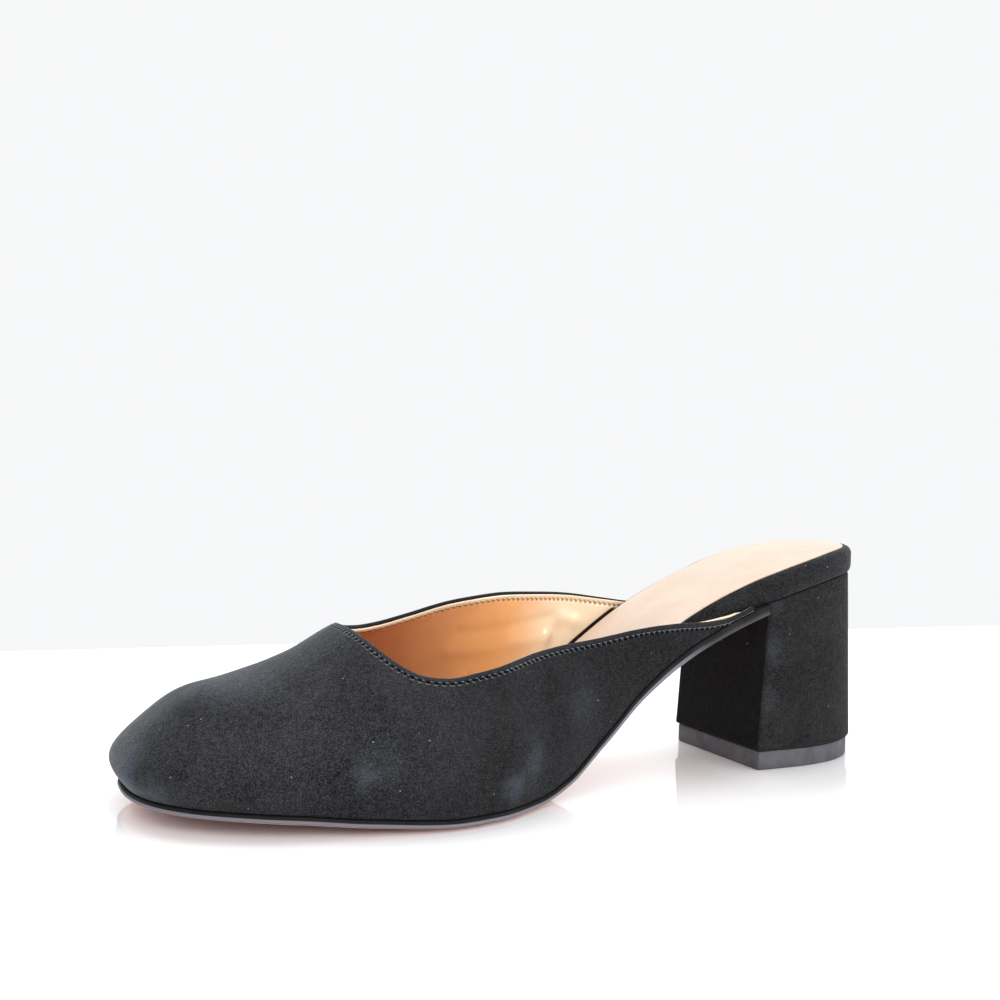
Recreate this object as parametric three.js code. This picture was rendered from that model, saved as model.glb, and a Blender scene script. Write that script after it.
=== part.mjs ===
// A block-heel mule for the left foot: suede vamp, wrapped insole, sock, outsole, covered heel and top piece.
// Millimetres, +Z up, the floor at Z = 0, the toe towards -X and the outer (lateral) side towards -Y.
// Stations run along the floor from the back of the heel (0) to the tip of the toe (1).
import * as THREE from "three";
import { mergeVertices } from "three/addons/utils/BufferGeometryUtils.js";

// Driving sizes of the last
const planLength = 234;
const heelWidth = 48;
const waistWidth = 44.5;
const ballWidth = 81;
const toeWidth = 73;
const seatRise = 57;
const toeSpring = 3.8;
const instepRise = 44.5;

// Outsole: full thickness, the height of its bevel and how far the bevel runs in under it
const outsoleThickness = 4;
const outsoleBevelRise = 0.9;
const outsoleBevelInset = 4;

// Insole board with its suede wrapping, and the sock set into it
const insoleSeatThickness = 8.2;
const insoleToeThickness = 4.4;
const insoleEdgeRound = 2.4;
const insoleEdgeUndercut = 1.1;
const insoleTuckedRound = 0.5;
const sockThickness = 0.8;
const sockRecess = 0.8;

// Upper
const upperWall = 1.8;
const featherInset = 0.6;
const tailHeight = 1.2;

// Heel: its length at the seat, how far the breast leans forward and the back leans out down to the floor
const heelSeatLength = 45.3;
const breastLean = 3.1;
const heelBackLean = 2.9;
const heelInset = 0.8;
const topPieceThickness = 5.8;
const topPieceInset = 0.9;

// Pieces meet at this distance.
const clearance = 0.3;

// The outline's width at each station as shares of the four named widths, and the swing of its middle
// towards the inner side as a share of the ball width
const outlineTable = [
  { at: 0.0, heel: 1.0, waist: 0.0, ball: 0.0, toe: 0.0, swing: 0.0 },
  { at: 0.14, heel: 1.0, waist: 0.0, ball: 0.0, toe: 0.0, swing: 0.0 },
  { at: 0.24, heel: 0.55, waist: 0.45, ball: 0.0, toe: 0.0, swing: 0.0 },
  { at: 0.34, heel: 0.0, waist: 1.0, ball: 0.0, toe: 0.0, swing: -0.01 },
  { at: 0.44, heel: 0.0, waist: 0.95, ball: 0.06, toe: 0.0, swing: -0.025 },
  { at: 0.54, heel: 0.0, waist: 0.6, ball: 0.4, toe: 0.0, swing: -0.055 },
  { at: 0.62, heel: 0.0, waist: 0.16, ball: 0.84, toe: 0.0, swing: -0.072 },
  { at: 0.69, heel: 0.0, waist: 0.0, ball: 1.0, toe: 0.0, swing: -0.062 },
  { at: 0.77, heel: 0.0, waist: 0.0, ball: 0.75, toe: 0.25, swing: -0.034 },
  { at: 0.85, heel: 0.0, waist: 0.0, ball: 0.0, toe: 1.02, swing: 0.003 },
  { at: 0.92, heel: 0.0, waist: 0.0, ball: 0.0, toe: 1.0, swing: 0.034 },
  { at: 1.0, heel: 0.0, waist: 0.0, ball: 0.0, toe: 1.0, swing: 0.06 },
];
// How long the round ends of the outline are, and how square each one is (2 is an ellipse)
const heelEnd = { length: 0.136, squareness: 2.05 };
const toeEnd = { length: 0.2, squareness: 2.45 };

// The line of the sole as shares of the seat rise and the toe spring, how far its underside is skived away
// upwards as a share of the bevel's rise, and the outsole's thickness as a share of its full one
const profileTable = [
  { at: 0.0, seat: 1.0, spring: 0.0, skive: 0.85, thickness: 1.0 },
  { at: 0.07, seat: 0.972, spring: 0.0, skive: 0.85, thickness: 1.0 },
  { at: 0.15, seat: 0.894, spring: 0.0, skive: 0.85, thickness: 1.0 },
  { at: 0.23, seat: 0.78, spring: 0.0, skive: 0.85, thickness: 1.0 },
  { at: 0.31, seat: 0.63, spring: 0.0, skive: 0.8, thickness: 1.0 },
  { at: 0.39, seat: 0.417, spring: 0.0, skive: 0.6, thickness: 0.94 },
  { at: 0.45, seat: 0.206, spring: 0.0, skive: 0.4, thickness: 0.86 },
  { at: 0.51, seat: 0.049, spring: 0.0, skive: 0.15, thickness: 0.77 },
  { at: 0.56, seat: 0.0, spring: 0.0, skive: 0.0, thickness: 0.7 },
  { at: 0.67, seat: 0.0, spring: 0.0, skive: 0.0, thickness: 0.7 },
  { at: 0.77, seat: 0.0, spring: 0.33, skive: 0.0, thickness: 0.7 },
  { at: 0.87, seat: 0.0, spring: 0.74, skive: 0.0, thickness: 0.7 },
  { at: 1.0, seat: 0.0, spring: 1.0, skive: 0.0, thickness: 0.7 },
];

// The insole thins from its seat thickness (1) to its toe thickness (0). In front of the upper's tails it
// is tucked inside the wall (1), and behind them its edge follows the outline (0).
const insoleTable = [
  { at: 0.175, thickness: 1.0, tuck: 0.0 },
  { at: 0.22, thickness: 1.0, tuck: 1.0 },
  { at: 0.45, thickness: 1.0, tuck: 1.0 },
  { at: 0.65, thickness: 0.0, tuck: 1.0 },
];

// The upper's sections. Ridge is the height of the last's ridge over the feather line as a share of the
// instep rise, lean is the ridge's shift from the outline's middle as a share of the ball width, fullness is
// how square the section is (2 is an ellipse), and bulge is the overhang as a share of the ball width.
const sectionTable = [
  { at: 0.2, ridge: 1.45, lean: 0.0, fullness: 2.0, bulge: 0.022 },
  { at: 0.49, ridge: 1.42, lean: 0.01, fullness: 2.0, bulge: 0.03 },
  { at: 0.59, ridge: 1.34, lean: 0.02, fullness: 2.0, bulge: 0.034 },
  { at: 0.69, ridge: 1.12, lean: 0.025, fullness: 2.05, bulge: 0.036 },
  { at: 0.752, ridge: 0.975, lean: 0.025, fullness: 2.1, bulge: 0.04 },
  { at: 0.804, ridge: 0.785, lean: 0.02, fullness: 2.15, bulge: 0.042 },
  { at: 0.845, ridge: 0.69, lean: 0.01, fullness: 2.2, bulge: 0.045 },
  { at: 0.895, ridge: 0.61, lean: 0.0, fullness: 2.2, bulge: 0.048 },
  { at: 0.945, ridge: 0.575, lean: 0.0, fullness: 2.15, bulge: 0.05 },
  { at: 1.0, ridge: 0.49, lean: 0.0, fullness: 2.05, bulge: 0.05 },
];
// In front of fanStart the ribs swing forward, and the last of them runs from the toe's tip to ridgeEnd.
const fanStart = 0.69;
const ridgeEnd = 0.895;

// The topline's height over the feather line at the throat, on each side. It is a share of a rise that goes
// over from the seat's (1) to the instep's (0).
const toplineTable = [
  { at: 0.22, seat: 1.0, outer: 0.823, inner: 0.823 },
  { at: 0.25, seat: 0.92, outer: 0.786, inner: 0.79 },
  { at: 0.28, seat: 0.83, outer: 0.785, inner: 0.805 },
  { at: 0.34, seat: 0.67, outer: 0.811, inner: 0.87 },
  { at: 0.4, seat: 0.5, outer: 0.83, inner: 0.948 },
  { at: 0.46, seat: 0.33, outer: 0.822, inner: 1.012 },
  { at: 0.52, seat: 0.17, outer: 0.827, inner: 1.063 },
  { at: 0.58, seat: 0.0, outer: 0.822, inner: 1.07 },
  { at: 0.64, seat: 0.0, outer: 0.77, inner: 0.978 },
  { at: 0.68, seat: 0.0, outer: 0.746, inner: 0.926 },
  { at: 0.713, seat: 0.0, outer: 0.782, inner: 0.913 },
  { at: 0.73, seat: 0.0, outer: 0.843, inner: 0.926 },
  { at: 0.744, seat: 0.0, outer: 0.92, inner: 0.955 },
  { at: 0.752, seat: 0.0, outer: 0.975, inner: 0.975 },
];
const tailStation = toplineTable[0].at;
const throatStation = toplineTable.at(-1).at;

// Mesh fineness: rows along the shoe and columns up the wall
const wingRows = 24;
const vampRows = 18;
const wallColumns = 16;
const plateRows = 38;
const heelRows = 14;
const heelLevels = 6;
const throatCrowding = 1.6;
const slopeStep = 0.003;

const colours = { suede: 0x0d0e10, edge: 0x17171a, sock: 0xf0cfb4, rubber: 0x2b2b2f };

// A smooth function through one column of a table. It never overshoots its rows, or else it runs over them in
// one round line.
function smoothColumn(table, column, round) {
  const x = table.map((row) => row.at);
  const y = table.map((row) => row[column]);
  const last = x.length - 1;
  const chord = x.slice(1).map((_, i) => (y[i + 1] - y[i]) / (x[i + 1] - x[i]));
  const slope = y.map((_, i) => {
    if (i === 0) return chord[0];
    if (i === last) return chord[last - 1];
    const [before, after] = [chord[i - 1], chord[i]];
    if (round) return (before * (x[i + 1] - x[i]) + after * (x[i] - x[i - 1])) / (x[i + 1] - x[i - 1]);
    return before * after <= 0 ? 0 : (2 * before * after) / (before + after);
  });
  return (at) => {
    if (at <= x[0]) return y[0];
    if (at >= x[last]) return y[last];
    let i = 0;
    while (x[i + 1] < at) i++;
    const h = x[i + 1] - x[i];
    const u = (at - x[i]) / h;
    const blend = u * u * (3 - 2 * u);
    const rise = u * (1 - u) * (1 - u) * slope[i] - u * u * (1 - u) * slope[i + 1];
    return y[i] + (y[i + 1] - y[i]) * blend + h * rise;
  };
}

// All columns of a table as smooth functions under their own names
function smoothTable(table, round = false) {
  const names = Object.keys(table[0]).filter((name) => name !== "at");
  return Object.fromEntries(names.map((name) => [name, smoothColumn(table, name, round)]));
}

const outline = smoothTable(outlineTable);
const profile = smoothTable(profileTable);
const board = smoothTable(insoleTable);
const section = smoothTable(sectionTable);
const topline = smoothTable(toplineTable, true);

// An outline parameter from 0 at the heel's back to 1 at the toe's tip, whose steps stay even round the ends
const stationOf = (t) => (1 - Math.cos(Math.PI * t)) / 2;
const parameterOf = (station) => Math.acos(1 - 2 * station) / Math.PI;

function endFactor(distance, end) {
  if (distance >= end.length) return 1;
  const inward = 1 - Math.max(distance, 0) / end.length;
  return Math.pow(1 - Math.pow(inward, end.squareness), 1 / end.squareness);
}

const middleAt = (station) => outline.swing(station) * ballWidth;

function halfWidthAt(station) {
  const width =
    outline.heel(station) * heelWidth +
    outline.waist(station) * waistWidth +
    outline.ball(station) * ballWidth +
    outline.toe(station) * toeWidth;
  return (width / 2) * endFactor(station, heelEnd) * endFactor(1 - station, toeEnd);
}

// A point of the outline as distances along and across, moved out by grow. Side is -1 outer, 1 inner.
function outlinePoint(t, side, grow = 0) {
  const base = (u) => {
    const beyond = u < 0 || u > 1;
    const folded = u < 0 ? -u : u > 1 ? 2 - u : u;
    const station = stationOf(folded);
    const half = halfWidthAt(station) * (beyond ? -side : side);
    return new THREE.Vector2(station * planLength, middleAt(station) + half);
  };
  const tangent = base(t + slopeStep).sub(base(t - slopeStep)).normalize();
  return base(t).add(new THREE.Vector2(-tangent.y, tangent.x).multiplyScalar(side * grow));
}

// Heights over the floor
const soleLine = (station) => profile.seat(station) * seatRise + profile.spring(station) * toeSpring;
const soleUnderside = (station) => soleLine(station) + profile.skive(station) * outsoleBevelRise;
const soleTop = (station) => soleLine(station) + profile.thickness(station) * outsoleThickness;
const featherHeight = (station) => soleTop(station) + clearance;
const insoleThickness = (station) =>
  insoleToeThickness + (insoleSeatThickness - insoleToeThickness) * board.thickness(station);
const insoleTop = (station) => featherHeight(station) + insoleThickness(station);
const ridgeHeight = (station) => featherHeight(station) + section.ridge(station) * instepRise;

function toplineHeight(station, side) {
  const share = side < 0 ? topline.outer(station) : topline.inner(station);
  const rise = instepRise + topline.seat(station) * (seatRise - instepRise);
  return featherHeight(throatStation) + share * rise;
}

const place = (along, across, height) => new THREE.Vector3(planLength - along, across, height);
const stationAt = (point) => (planLength - point.x) / planLength;

// The ridge station that a rib from this station of the feather line runs to
function ridgeStationOf(station) {
  if (station <= fanStart) return station;
  const reach = (1 - fanStart) / (ridgeEnd - fanStart);
  const left = Math.max(0, 1 - (station - fanStart) / (1 - fanStart));
  return fanStart + (ridgeEnd - fanStart) * (1 - Math.pow(left, reach));
}

// The overhang of a section at each angle, 1 where it is greatest, low on the wall
const overhangShape = (angle) => 5 * Math.sin(angle) * Math.pow(Math.cos(angle), 9);

// The outside of the upper: a rib rises from the feather line at angle 0 to the ridge at a right angle.
function upperPoint(t, side, angle) {
  if (t > 1) return upperPoint(2 - t, -side, angle);
  const station = stationOf(t);
  const foot = outlinePoint(t, side, -featherInset);
  const ridgeStation = ridgeStationOf(station);
  const middle = middleAt(ridgeStation) + section.lean(ridgeStation) * ballWidth;
  const ridge = new THREE.Vector2(ridgeStation * planLength, middle);
  const power = 2 / section.fullness(station);
  const inward = 1 - Math.pow(Math.max(Math.cos(angle), 0), power);
  const upward = Math.pow(Math.sin(angle), power);
  const overhang = section.bulge(station) * ballWidth * overhangShape(angle);
  const outward = outlinePoint(t, side, 1).sub(outlinePoint(t, side, 0));
  const plan = foot.clone().lerp(ridge, inward).add(outward.multiplyScalar(overhang));
  const base = featherHeight(foot.x / planLength);
  const roof = ridgeHeight(plan.x / planLength);
  return place(plan.x, plan.y, base + (roof - base) * upward);
}

// A point of the upper's inside, one wall's thickness in from the outside and never below the feather line
function liningPoint(t, side, angle) {
  const turn = Math.min(Math.max(angle, slopeStep), Math.PI / 2 - slopeStep);
  const along = upperPoint(t + slopeStep, side, turn).sub(upperPoint(t - slopeStep, side, turn));
  const up = upperPoint(t, side, turn + slopeStep).sub(upperPoint(t, side, turn - slopeStep));
  const inward = along.cross(up).normalize().multiplyScalar(-side);
  const point = upperPoint(t, side, angle).addScaledVector(inward, upperWall);
  point.z = Math.max(point.z, featherHeight(stationAt(point)));
  return point;
}

// The angle at which a rib reaches the topline, or a right angle in front of the throat
function toplineAngle(t, side) {
  if (ridgeStationOf(stationOf(t)) >= throatStation) return Math.PI / 2;
  const base = featherHeight(stationOf(t));
  let low = 0;
  let high = Math.PI / 2;
  while (high - low > 1e-7) {
    const angle = (low + high) / 2;
    const point = upperPoint(t, side, angle);
    const limit = Math.max(toplineHeight(stationAt(point), side), base + tailHeight);
    if (point.z < limit) low = angle;
    else high = angle;
  }
  return low;
}

// count + 1 values from first to last, drawn together towards the last as crowding rises over 1
function spread(first, last, count, crowding = 1) {
  const share = (i) => 1 - Math.pow(1 - i / count, crowding);
  return Array.from({ length: count + 1 }, (_, i) => first + (last - first) * share(i));
}

// The triangles of a grid of points, whose front looks along rows x columns, or the other way if flipped
function gridTriangles(grid, flipped) {
  const corners = [];
  for (let r = 0; r + 1 < grid.length; r++)
    for (let c = 0; c + 1 < grid[r].length; c++) {
      const [a, b] = [grid[r][c], grid[r + 1][c]];
      const [d, e] = [grid[r][c + 1], grid[r + 1][c + 1]];
      corners.push(...(flipped ? [a, e, b, a, d, e] : [a, b, e, a, e, d]));
    }
  return corners;
}

// One closed mesh from loose triangles: equal corners are merged and flat slivers at the tips are dropped.
function closedMesh(name, corners, color, roughness) {
  const geometry = mergeVertices(new THREE.BufferGeometry().setFromPoints(corners), 1e-3);
  const index = [];
  for (let i = 0; i < geometry.index.count; i += 3) {
    const [a, b, c] = [0, 1, 2].map((k) => geometry.index.getX(i + k));
    if (a !== b && b !== c && c !== a) index.push(a, b, c);
  }
  geometry.setIndex(index);
  geometry.computeVertexNormals();
  const material = new THREE.MeshStandardMaterial({ color, roughness, metalness: 0 });
  const mesh = new THREE.Mesh(geometry, material);
  mesh.name = name;
  return mesh;
}

// One skin of the upper's wall on one side, a row of points for each rib from the feather line up. The toe's
// rib belongs to both sides, and in front of the throat both sides share the ridge.
function wallSkin(pointAt, side, ribs) {
  return ribs.map((t) => {
    const from = t === 1 ? -1 : side;
    const reach = toplineAngle(t, from);
    const angles = spread(0, Math.PI / 2, wallColumns).map((angle) => Math.min(angle, reach));
    const row = angles.map((angle) => pointAt(t, from, angle));
    if (reach === Math.PI / 2) row[wallColumns].add(pointAt(t, -from, reach)).multiplyScalar(0.5);
    return row;
  });
}

// The rib that starts the closed vamp in front of the throat
function throatParameter() {
  let low = parameterOf(fanStart);
  let high = 1;
  while (high - low > 1e-9) {
    const middle = (low + high) / 2;
    if (ridgeStationOf(stationOf(middle)) < throatStation) low = middle;
    else high = middle;
  }
  return high;
}

// The vamp and its two wings: one hollow wall, open at the collar and along the feather line
function makeUpper() {
  const throat = throatParameter();
  const wing = spread(parameterOf(tailStation), throat, wingRows, throatCrowding);
  const ribs = [...wing, ...spread(throat, 1, vampRows).slice(1)];
  const corners = [-1, 1].flatMap((side) => {
    const outside = wallSkin(upperPoint, side, ribs);
    const inside = wallSkin(liningPoint, side, ribs);
    const featherEdge = outside.map((row, i) => [inside[i][0], row[0]]);
    const collarEdge = wing.map((_, i) => [outside[i][wallColumns], inside[i][wallColumns]]);
    const tailEdge = outside[0].map((point, i) => [point, inside[0][i]]);
    return [
      ...gridTriangles(outside, side < 0),
      ...gridTriangles(inside, side > 0),
      ...gridTriangles(featherEdge, side < 0),
      ...gridTriangles(collarEdge, side < 0),
      ...gridTriangles(tailEdge, side < 0),
    ];
  });
  return closedMesh("upper", corners, colours.suede, 0.95);
}

// A solid that follows the outline from one station to another, with a list of levels from its underside to
// its top. Each level gives a point for a parameter and a side.
function outlineSolid(name, levels, from, to, rows, color, roughness) {
  const steps = spread(parameterOf(from), parameterOf(to), rows);
  const rail = (level, side) => steps.map((t) => level(t, side));
  const walls = [-1, 1].flatMap((side) => {
    const rails = levels.map((level) => rail(level, side));
    return gridTriangles(rails, side > 0);
  });
  const across = (level) => rail(level, -1).map((point, i) => [point, rail(level, 1)[i]]);
  const end = (t) => levels.map((level) => [level(t, -1), level(t, 1)]);
  const corners = [
    ...walls,
    ...gridTriangles(across(levels[0]), false),
    ...gridTriangles(across(levels.at(-1)), true),
    ...gridTriangles(end(steps[0]), true),
    ...gridTriangles(end(steps.at(-1)), false),
  ];
  return closedMesh(name, corners, color, roughness);
}

// A level that follows the outline, grown by a distance that depends on the station, at a given height
function levelAt(growAt, heightAt) {
  return (t, side) => {
    const plan = outlinePoint(t, side, growAt(stationOf(t)));
    return place(plan.x, plan.y, heightAt(plan.x / planLength));
  };
}

// How far forward the breast stands at a height share from 0 at the floor to 1 at the seat
const breastAt = (share) => heelSeatLength + breastLean * (1 - share);

function makeOutsole() {
  const levels = [
    levelAt(() => -outsoleBevelInset, soleUnderside),
    levelAt(
      () => 0,
      (station) => soleLine(station) + outsoleBevelRise,
    ),
    levelAt(() => 0, soleTop),
  ];
  const start = breastAt(1 - outsoleThickness / seatRise) + clearance;
  return outlineSolid("outsole", levels, start / planLength, 1, plateRows, colours.edge, 0.5);
}

const insoleGrow = (station) => -(featherInset + upperWall + clearance) * board.tuck(station);

// The wrapped edge is round behind the upper's tails and nearly square inside the upper.
const insoleRound = (station) => insoleEdgeRound + (insoleTuckedRound - insoleEdgeRound) * board.tuck(station);

function makeInsole() {
  const level = (insetAt, heightAt) => levelAt((station) => insoleGrow(station) - insetAt(station), heightAt);
  const none = () => 0;
  const shoulder = (station) => 0.3 * insoleRound(station);
  const levels = [
    level(() => insoleEdgeUndercut, featherHeight),
    level(none, (station) => featherHeight(station) + insoleEdgeRound),
    level(none, (station) => insoleTop(station) - insoleRound(station)),
    level(shoulder, (station) => insoleTop(station) - shoulder(station)),
    level(insoleRound, insoleTop),
    level(insoleRound, (station) => insoleTop(station) - sockRecess),
  ];
  return outlineSolid("insole", levels, 0, 1, plateRows, colours.suede, 0.95);
}

function makeSock() {
  const grow = (station) => insoleGrow(station) - insoleRound(station) - clearance;
  const seat = (station) => insoleTop(station) - sockRecess + clearance;
  const levels = [levelAt(grow, seat), levelAt(grow, (station) => seat(station) + sockThickness)];
  return outlineSolid("sock", levels, 0, 1, plateRows, colours.sock, 0.6);
}

// The heel's section at a height share, drawn in all round by an inset: the outline's round back, closed by
// the flat breast
function heelPlan(t, side, share, inset) {
  const outlineAt = outlinePoint(t, side, -heelInset - inset);
  const first = heelInset + inset;
  const back = first - heelBackLean * (1 - share);
  const breast = breastAt(share) - inset;
  const along = back + ((outlineAt.x - first) * (breast - back)) / (heelSeatLength - first);
  return new THREE.Vector2(along, outlineAt.y);
}

function makeHeel() {
  const foot = topPieceThickness + clearance;
  const levelOf = (share) => (t, side) => {
    const plan = heelPlan(t, side, share, 0);
    return place(plan.x, plan.y, foot + (soleTop(plan.x / planLength) - foot) * share);
  };
  const levels = spread(0, 1, heelLevels).map(levelOf);
  const end = heelSeatLength / planLength;
  return outlineSolid("heel", levels, 0, end, heelRows, colours.suede, 0.95);
}

function makeTopPiece() {
  const levelOf = (height) => (t, side) => {
    const plan = heelPlan(t, side, 0, topPieceInset);
    return place(plan.x, plan.y, height);
  };
  const levels = [0, topPieceThickness].map(levelOf);
  const end = heelSeatLength / planLength;
  return outlineSolid("top_piece", levels, 0, end, heelRows, colours.rubber, 0.7);
}

// The shoe, with its origin on the floor under the middle of its box
const shoe = new THREE.Group();
shoe.add(makeOutsole(), makeInsole(), makeSock(), makeUpper(), makeHeel(), makeTopPiece());
const middle = new THREE.Box3().setFromObject(shoe).getCenter(new THREE.Vector3());
shoe.position.set(-middle.x, -middle.y, 0);
shoe.updateMatrixWorld(true);

export default shoe;
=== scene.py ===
"""A block-heel mule for the left foot: suede vamp with a folded and stitched topline, glossy lining, wrapped
insole with its sock, thin outsole, covered heel and rubber top piece.

Sizes in the tables and constants are millimetres or shares of them. Stations run along the floor from the
back of the heel (0) to the tip of the toe (1). The toe looks towards -X, the outer side towards -Y.
"""

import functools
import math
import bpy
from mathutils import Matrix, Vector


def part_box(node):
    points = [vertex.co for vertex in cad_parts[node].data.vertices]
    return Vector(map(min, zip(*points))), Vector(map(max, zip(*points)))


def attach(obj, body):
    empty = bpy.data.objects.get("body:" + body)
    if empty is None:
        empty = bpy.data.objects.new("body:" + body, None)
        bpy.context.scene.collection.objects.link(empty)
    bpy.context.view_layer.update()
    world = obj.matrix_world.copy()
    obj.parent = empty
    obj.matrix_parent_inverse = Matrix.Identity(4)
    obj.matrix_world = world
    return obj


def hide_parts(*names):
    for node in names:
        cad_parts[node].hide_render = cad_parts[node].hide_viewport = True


bl_info = {
    "name": "Block Heel Mule",
    "version": (1, 0, 0),
    "blender": (4, 5, 0),
    "location": "View3D > Sidebar > Mule",
    "description": "Builds a backless suede shoe with a block heel, piece by piece",
    "category": "Add Mesh",
}

from types import SimpleNamespace

import bmesh
import bpy
import numpy as np
from mathutils import Matrix, Vector
from mathutils.kdtree import KDTree

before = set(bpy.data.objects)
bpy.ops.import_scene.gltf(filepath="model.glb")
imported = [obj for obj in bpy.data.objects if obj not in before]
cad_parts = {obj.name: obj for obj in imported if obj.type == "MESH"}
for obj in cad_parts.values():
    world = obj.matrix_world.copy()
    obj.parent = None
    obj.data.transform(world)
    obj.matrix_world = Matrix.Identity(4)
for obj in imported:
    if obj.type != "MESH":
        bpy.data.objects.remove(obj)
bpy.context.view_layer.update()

MM = 0.001

# Driving sizes of the last
PLAN_LENGTH = 234
HEEL_WIDTH = 48
WAIST_WIDTH = 44.5
BALL_WIDTH = 81
TOE_WIDTH = 73
SEAT_RISE = 57
TOE_SPRING = 3.8
INSTEP_RISE = 44.5

# Outsole, insole and sock
OUTSOLE_THICKNESS = 4
BEVEL_RISE = 0.9
BEVEL_INSET = 4
INSOLE_SEAT_THICKNESS = 8.2
INSOLE_TOE_THICKNESS = 4.4
EDGE_ROUND = 2.4
EDGE_UNDERCUT = 1.1
TUCKED_ROUND = 0.5
SOCK_THICKNESS = 0.8
SOCK_RECESS = 0.8

# Upper
UPPER_WALL = 1.8
FEATHER_INSET = 0.6
TAIL_HEIGHT = 1.2

# Heel and top piece
HEEL_SEAT_LENGTH = 45.3
BREAST_LEAN = 3.1
HEEL_BACK_LEAN = 2.9
HEEL_INSET = 0.8
TOP_PIECE_THICKNESS = 5.8
TOP_PIECE_INSET = 0.9

CLEARANCE = 0.3

# Steps and limits of the sums below
SLOPE_STEP = 0.003
HALVINGS = 26
NEARLY = 1e-6
RIGHT_ANGLE = np.pi / 2

# Where the frame puts the back of the rand and the middle of the heel
SHIFT_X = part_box("insole")[1].x / MM - PLAN_LENGTH
SHIFT_Y = (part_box("heel")[0].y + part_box("heel")[1].y) / 2 / MM


def smooth_column(at, values, rounded):
    """A smooth function through one column of a table. It never overshoots its rows, but a rounded one runs
    over them in one round line."""
    step = np.diff(at)
    chord = np.diff(values) / step
    before = chord[:-1]
    after = chord[1:]
    if rounded:
        inner = (before * step[1:] + after * step[:-1]) / (step[:-1] + step[1:])
    else:
        same = before * after > 0
        inner = np.where(same, 2 * before * after / np.where(same, before + after, 1), 0)
    slope = np.concatenate([chord[:1], inner, chord[-1:]])

    def value(station):
        inside = np.clip(station, at[0], at[-1])
        i = np.clip(np.searchsorted(at, inside) - 1, 0, len(at) - 2)
        h = at[i + 1] - at[i]
        u = (inside - at[i]) / h
        blend = u * u * (3 - 2 * u)
        rise = u * (1 - u) ** 2 * slope[i] - u * u * (1 - u) * slope[i + 1]
        return values[i] + (values[i + 1] - values[i]) * blend + h * rise

    return value


def smooth_table(names, *rows, rounded=False):
    """All columns of a table as smooth functions under their own names. The first column is the station."""
    columns = np.array(rows, float).T
    functions = [smooth_column(columns[0], column, rounded) for column in columns[1:]]
    return SimpleNamespace(**dict(zip(names.split()[1:], functions)))


outline = smooth_table(
    "at heel waist ball toe swing",
    (0.0, 1.0, 0.0, 0.0, 0.0, 0.0),
    (0.14, 1.0, 0.0, 0.0, 0.0, 0.0),
    (0.24, 0.55, 0.45, 0.0, 0.0, 0.0),
    (0.34, 0.0, 1.0, 0.0, 0.0, -0.01),
    (0.44, 0.0, 0.95, 0.06, 0.0, -0.025),
    (0.54, 0.0, 0.6, 0.4, 0.0, -0.055),
    (0.62, 0.0, 0.16, 0.84, 0.0, -0.072),
    (0.69, 0.0, 0.0, 1.0, 0.0, -0.062),
    (0.77, 0.0, 0.0, 0.75, 0.25, -0.034),
    (0.85, 0.0, 0.0, 0.0, 1.02, 0.003),
    (0.92, 0.0, 0.0, 0.0, 1.0, 0.034),
    (1.0, 0.0, 0.0, 0.0, 1.0, 0.06),
)
# How long the round ends of the outline are, and how square each one is
HEEL_END = (0.136, 2.05)
TOE_END = (0.2, 2.45)

profile = smooth_table(
    "at seat spring skive thickness",
    (0.0, 1.0, 0.0, 0.85, 1.0),
    (0.07, 0.972, 0.0, 0.85, 1.0),
    (0.15, 0.894, 0.0, 0.85, 1.0),
    (0.23, 0.78, 0.0, 0.85, 1.0),
    (0.31, 0.63, 0.0, 0.8, 1.0),
    (0.39, 0.417, 0.0, 0.6, 0.94),
    (0.45, 0.206, 0.0, 0.4, 0.86),
    (0.51, 0.049, 0.0, 0.15, 0.77),
    (0.56, 0.0, 0.0, 0.0, 0.7),
    (0.67, 0.0, 0.0, 0.0, 0.7),
    (0.77, 0.0, 0.33, 0.0, 0.7),
    (0.87, 0.0, 0.74, 0.0, 0.7),
    (1.0, 0.0, 1.0, 0.0, 0.7),
)
board = smooth_table(
    "at thickness tuck",
    (0.175, 1.0, 0.0),
    (0.22, 1.0, 1.0),
    (0.45, 1.0, 1.0),
    (0.65, 0.0, 1.0),
)
section = smooth_table(
    "at ridge lean fullness bulge",
    (0.2, 1.45, 0.0, 2.0, 0.022),
    (0.49, 1.42, 0.01, 2.0, 0.03),
    (0.59, 1.34, 0.02, 2.0, 0.034),
    (0.69, 1.12, 0.025, 2.05, 0.036),
    (0.752, 0.975, 0.025, 2.1, 0.04),
    (0.804, 0.785, 0.02, 2.15, 0.042),
    (0.845, 0.69, 0.01, 2.2, 0.045),
    (0.895, 0.61, 0.0, 2.2, 0.048),
    (0.945, 0.575, 0.0, 2.15, 0.05),
    (1.0, 0.49, 0.0, 2.05, 0.05),
)
FAN_START = 0.69
RIDGE_END = 0.895
FAN_REACH = (1 - FAN_START) / (RIDGE_END - FAN_START)

topline = smooth_table(
    "at seat outer inner",
    (0.22, 1.0, 0.823, 0.823),
    (0.25, 0.92, 0.786, 0.79),
    (0.28, 0.83, 0.785, 0.805),
    (0.34, 0.67, 0.811, 0.87),
    (0.4, 0.5, 0.83, 0.948),
    (0.46, 0.33, 0.822, 1.012),
    (0.52, 0.17, 0.827, 1.063),
    (0.58, 0.0, 0.822, 1.07),
    (0.64, 0.0, 0.77, 0.978),
    (0.68, 0.0, 0.746, 0.926),
    (0.713, 0.0, 0.782, 0.913),
    (0.73, 0.0, 0.843, 0.926),
    (0.744, 0.0, 0.92, 0.955),
    (0.752, 0.0, 0.975, 0.975),
    rounded=True,
)
TAIL_STATION = 0.22
THROAT_STATION = 0.752

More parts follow.
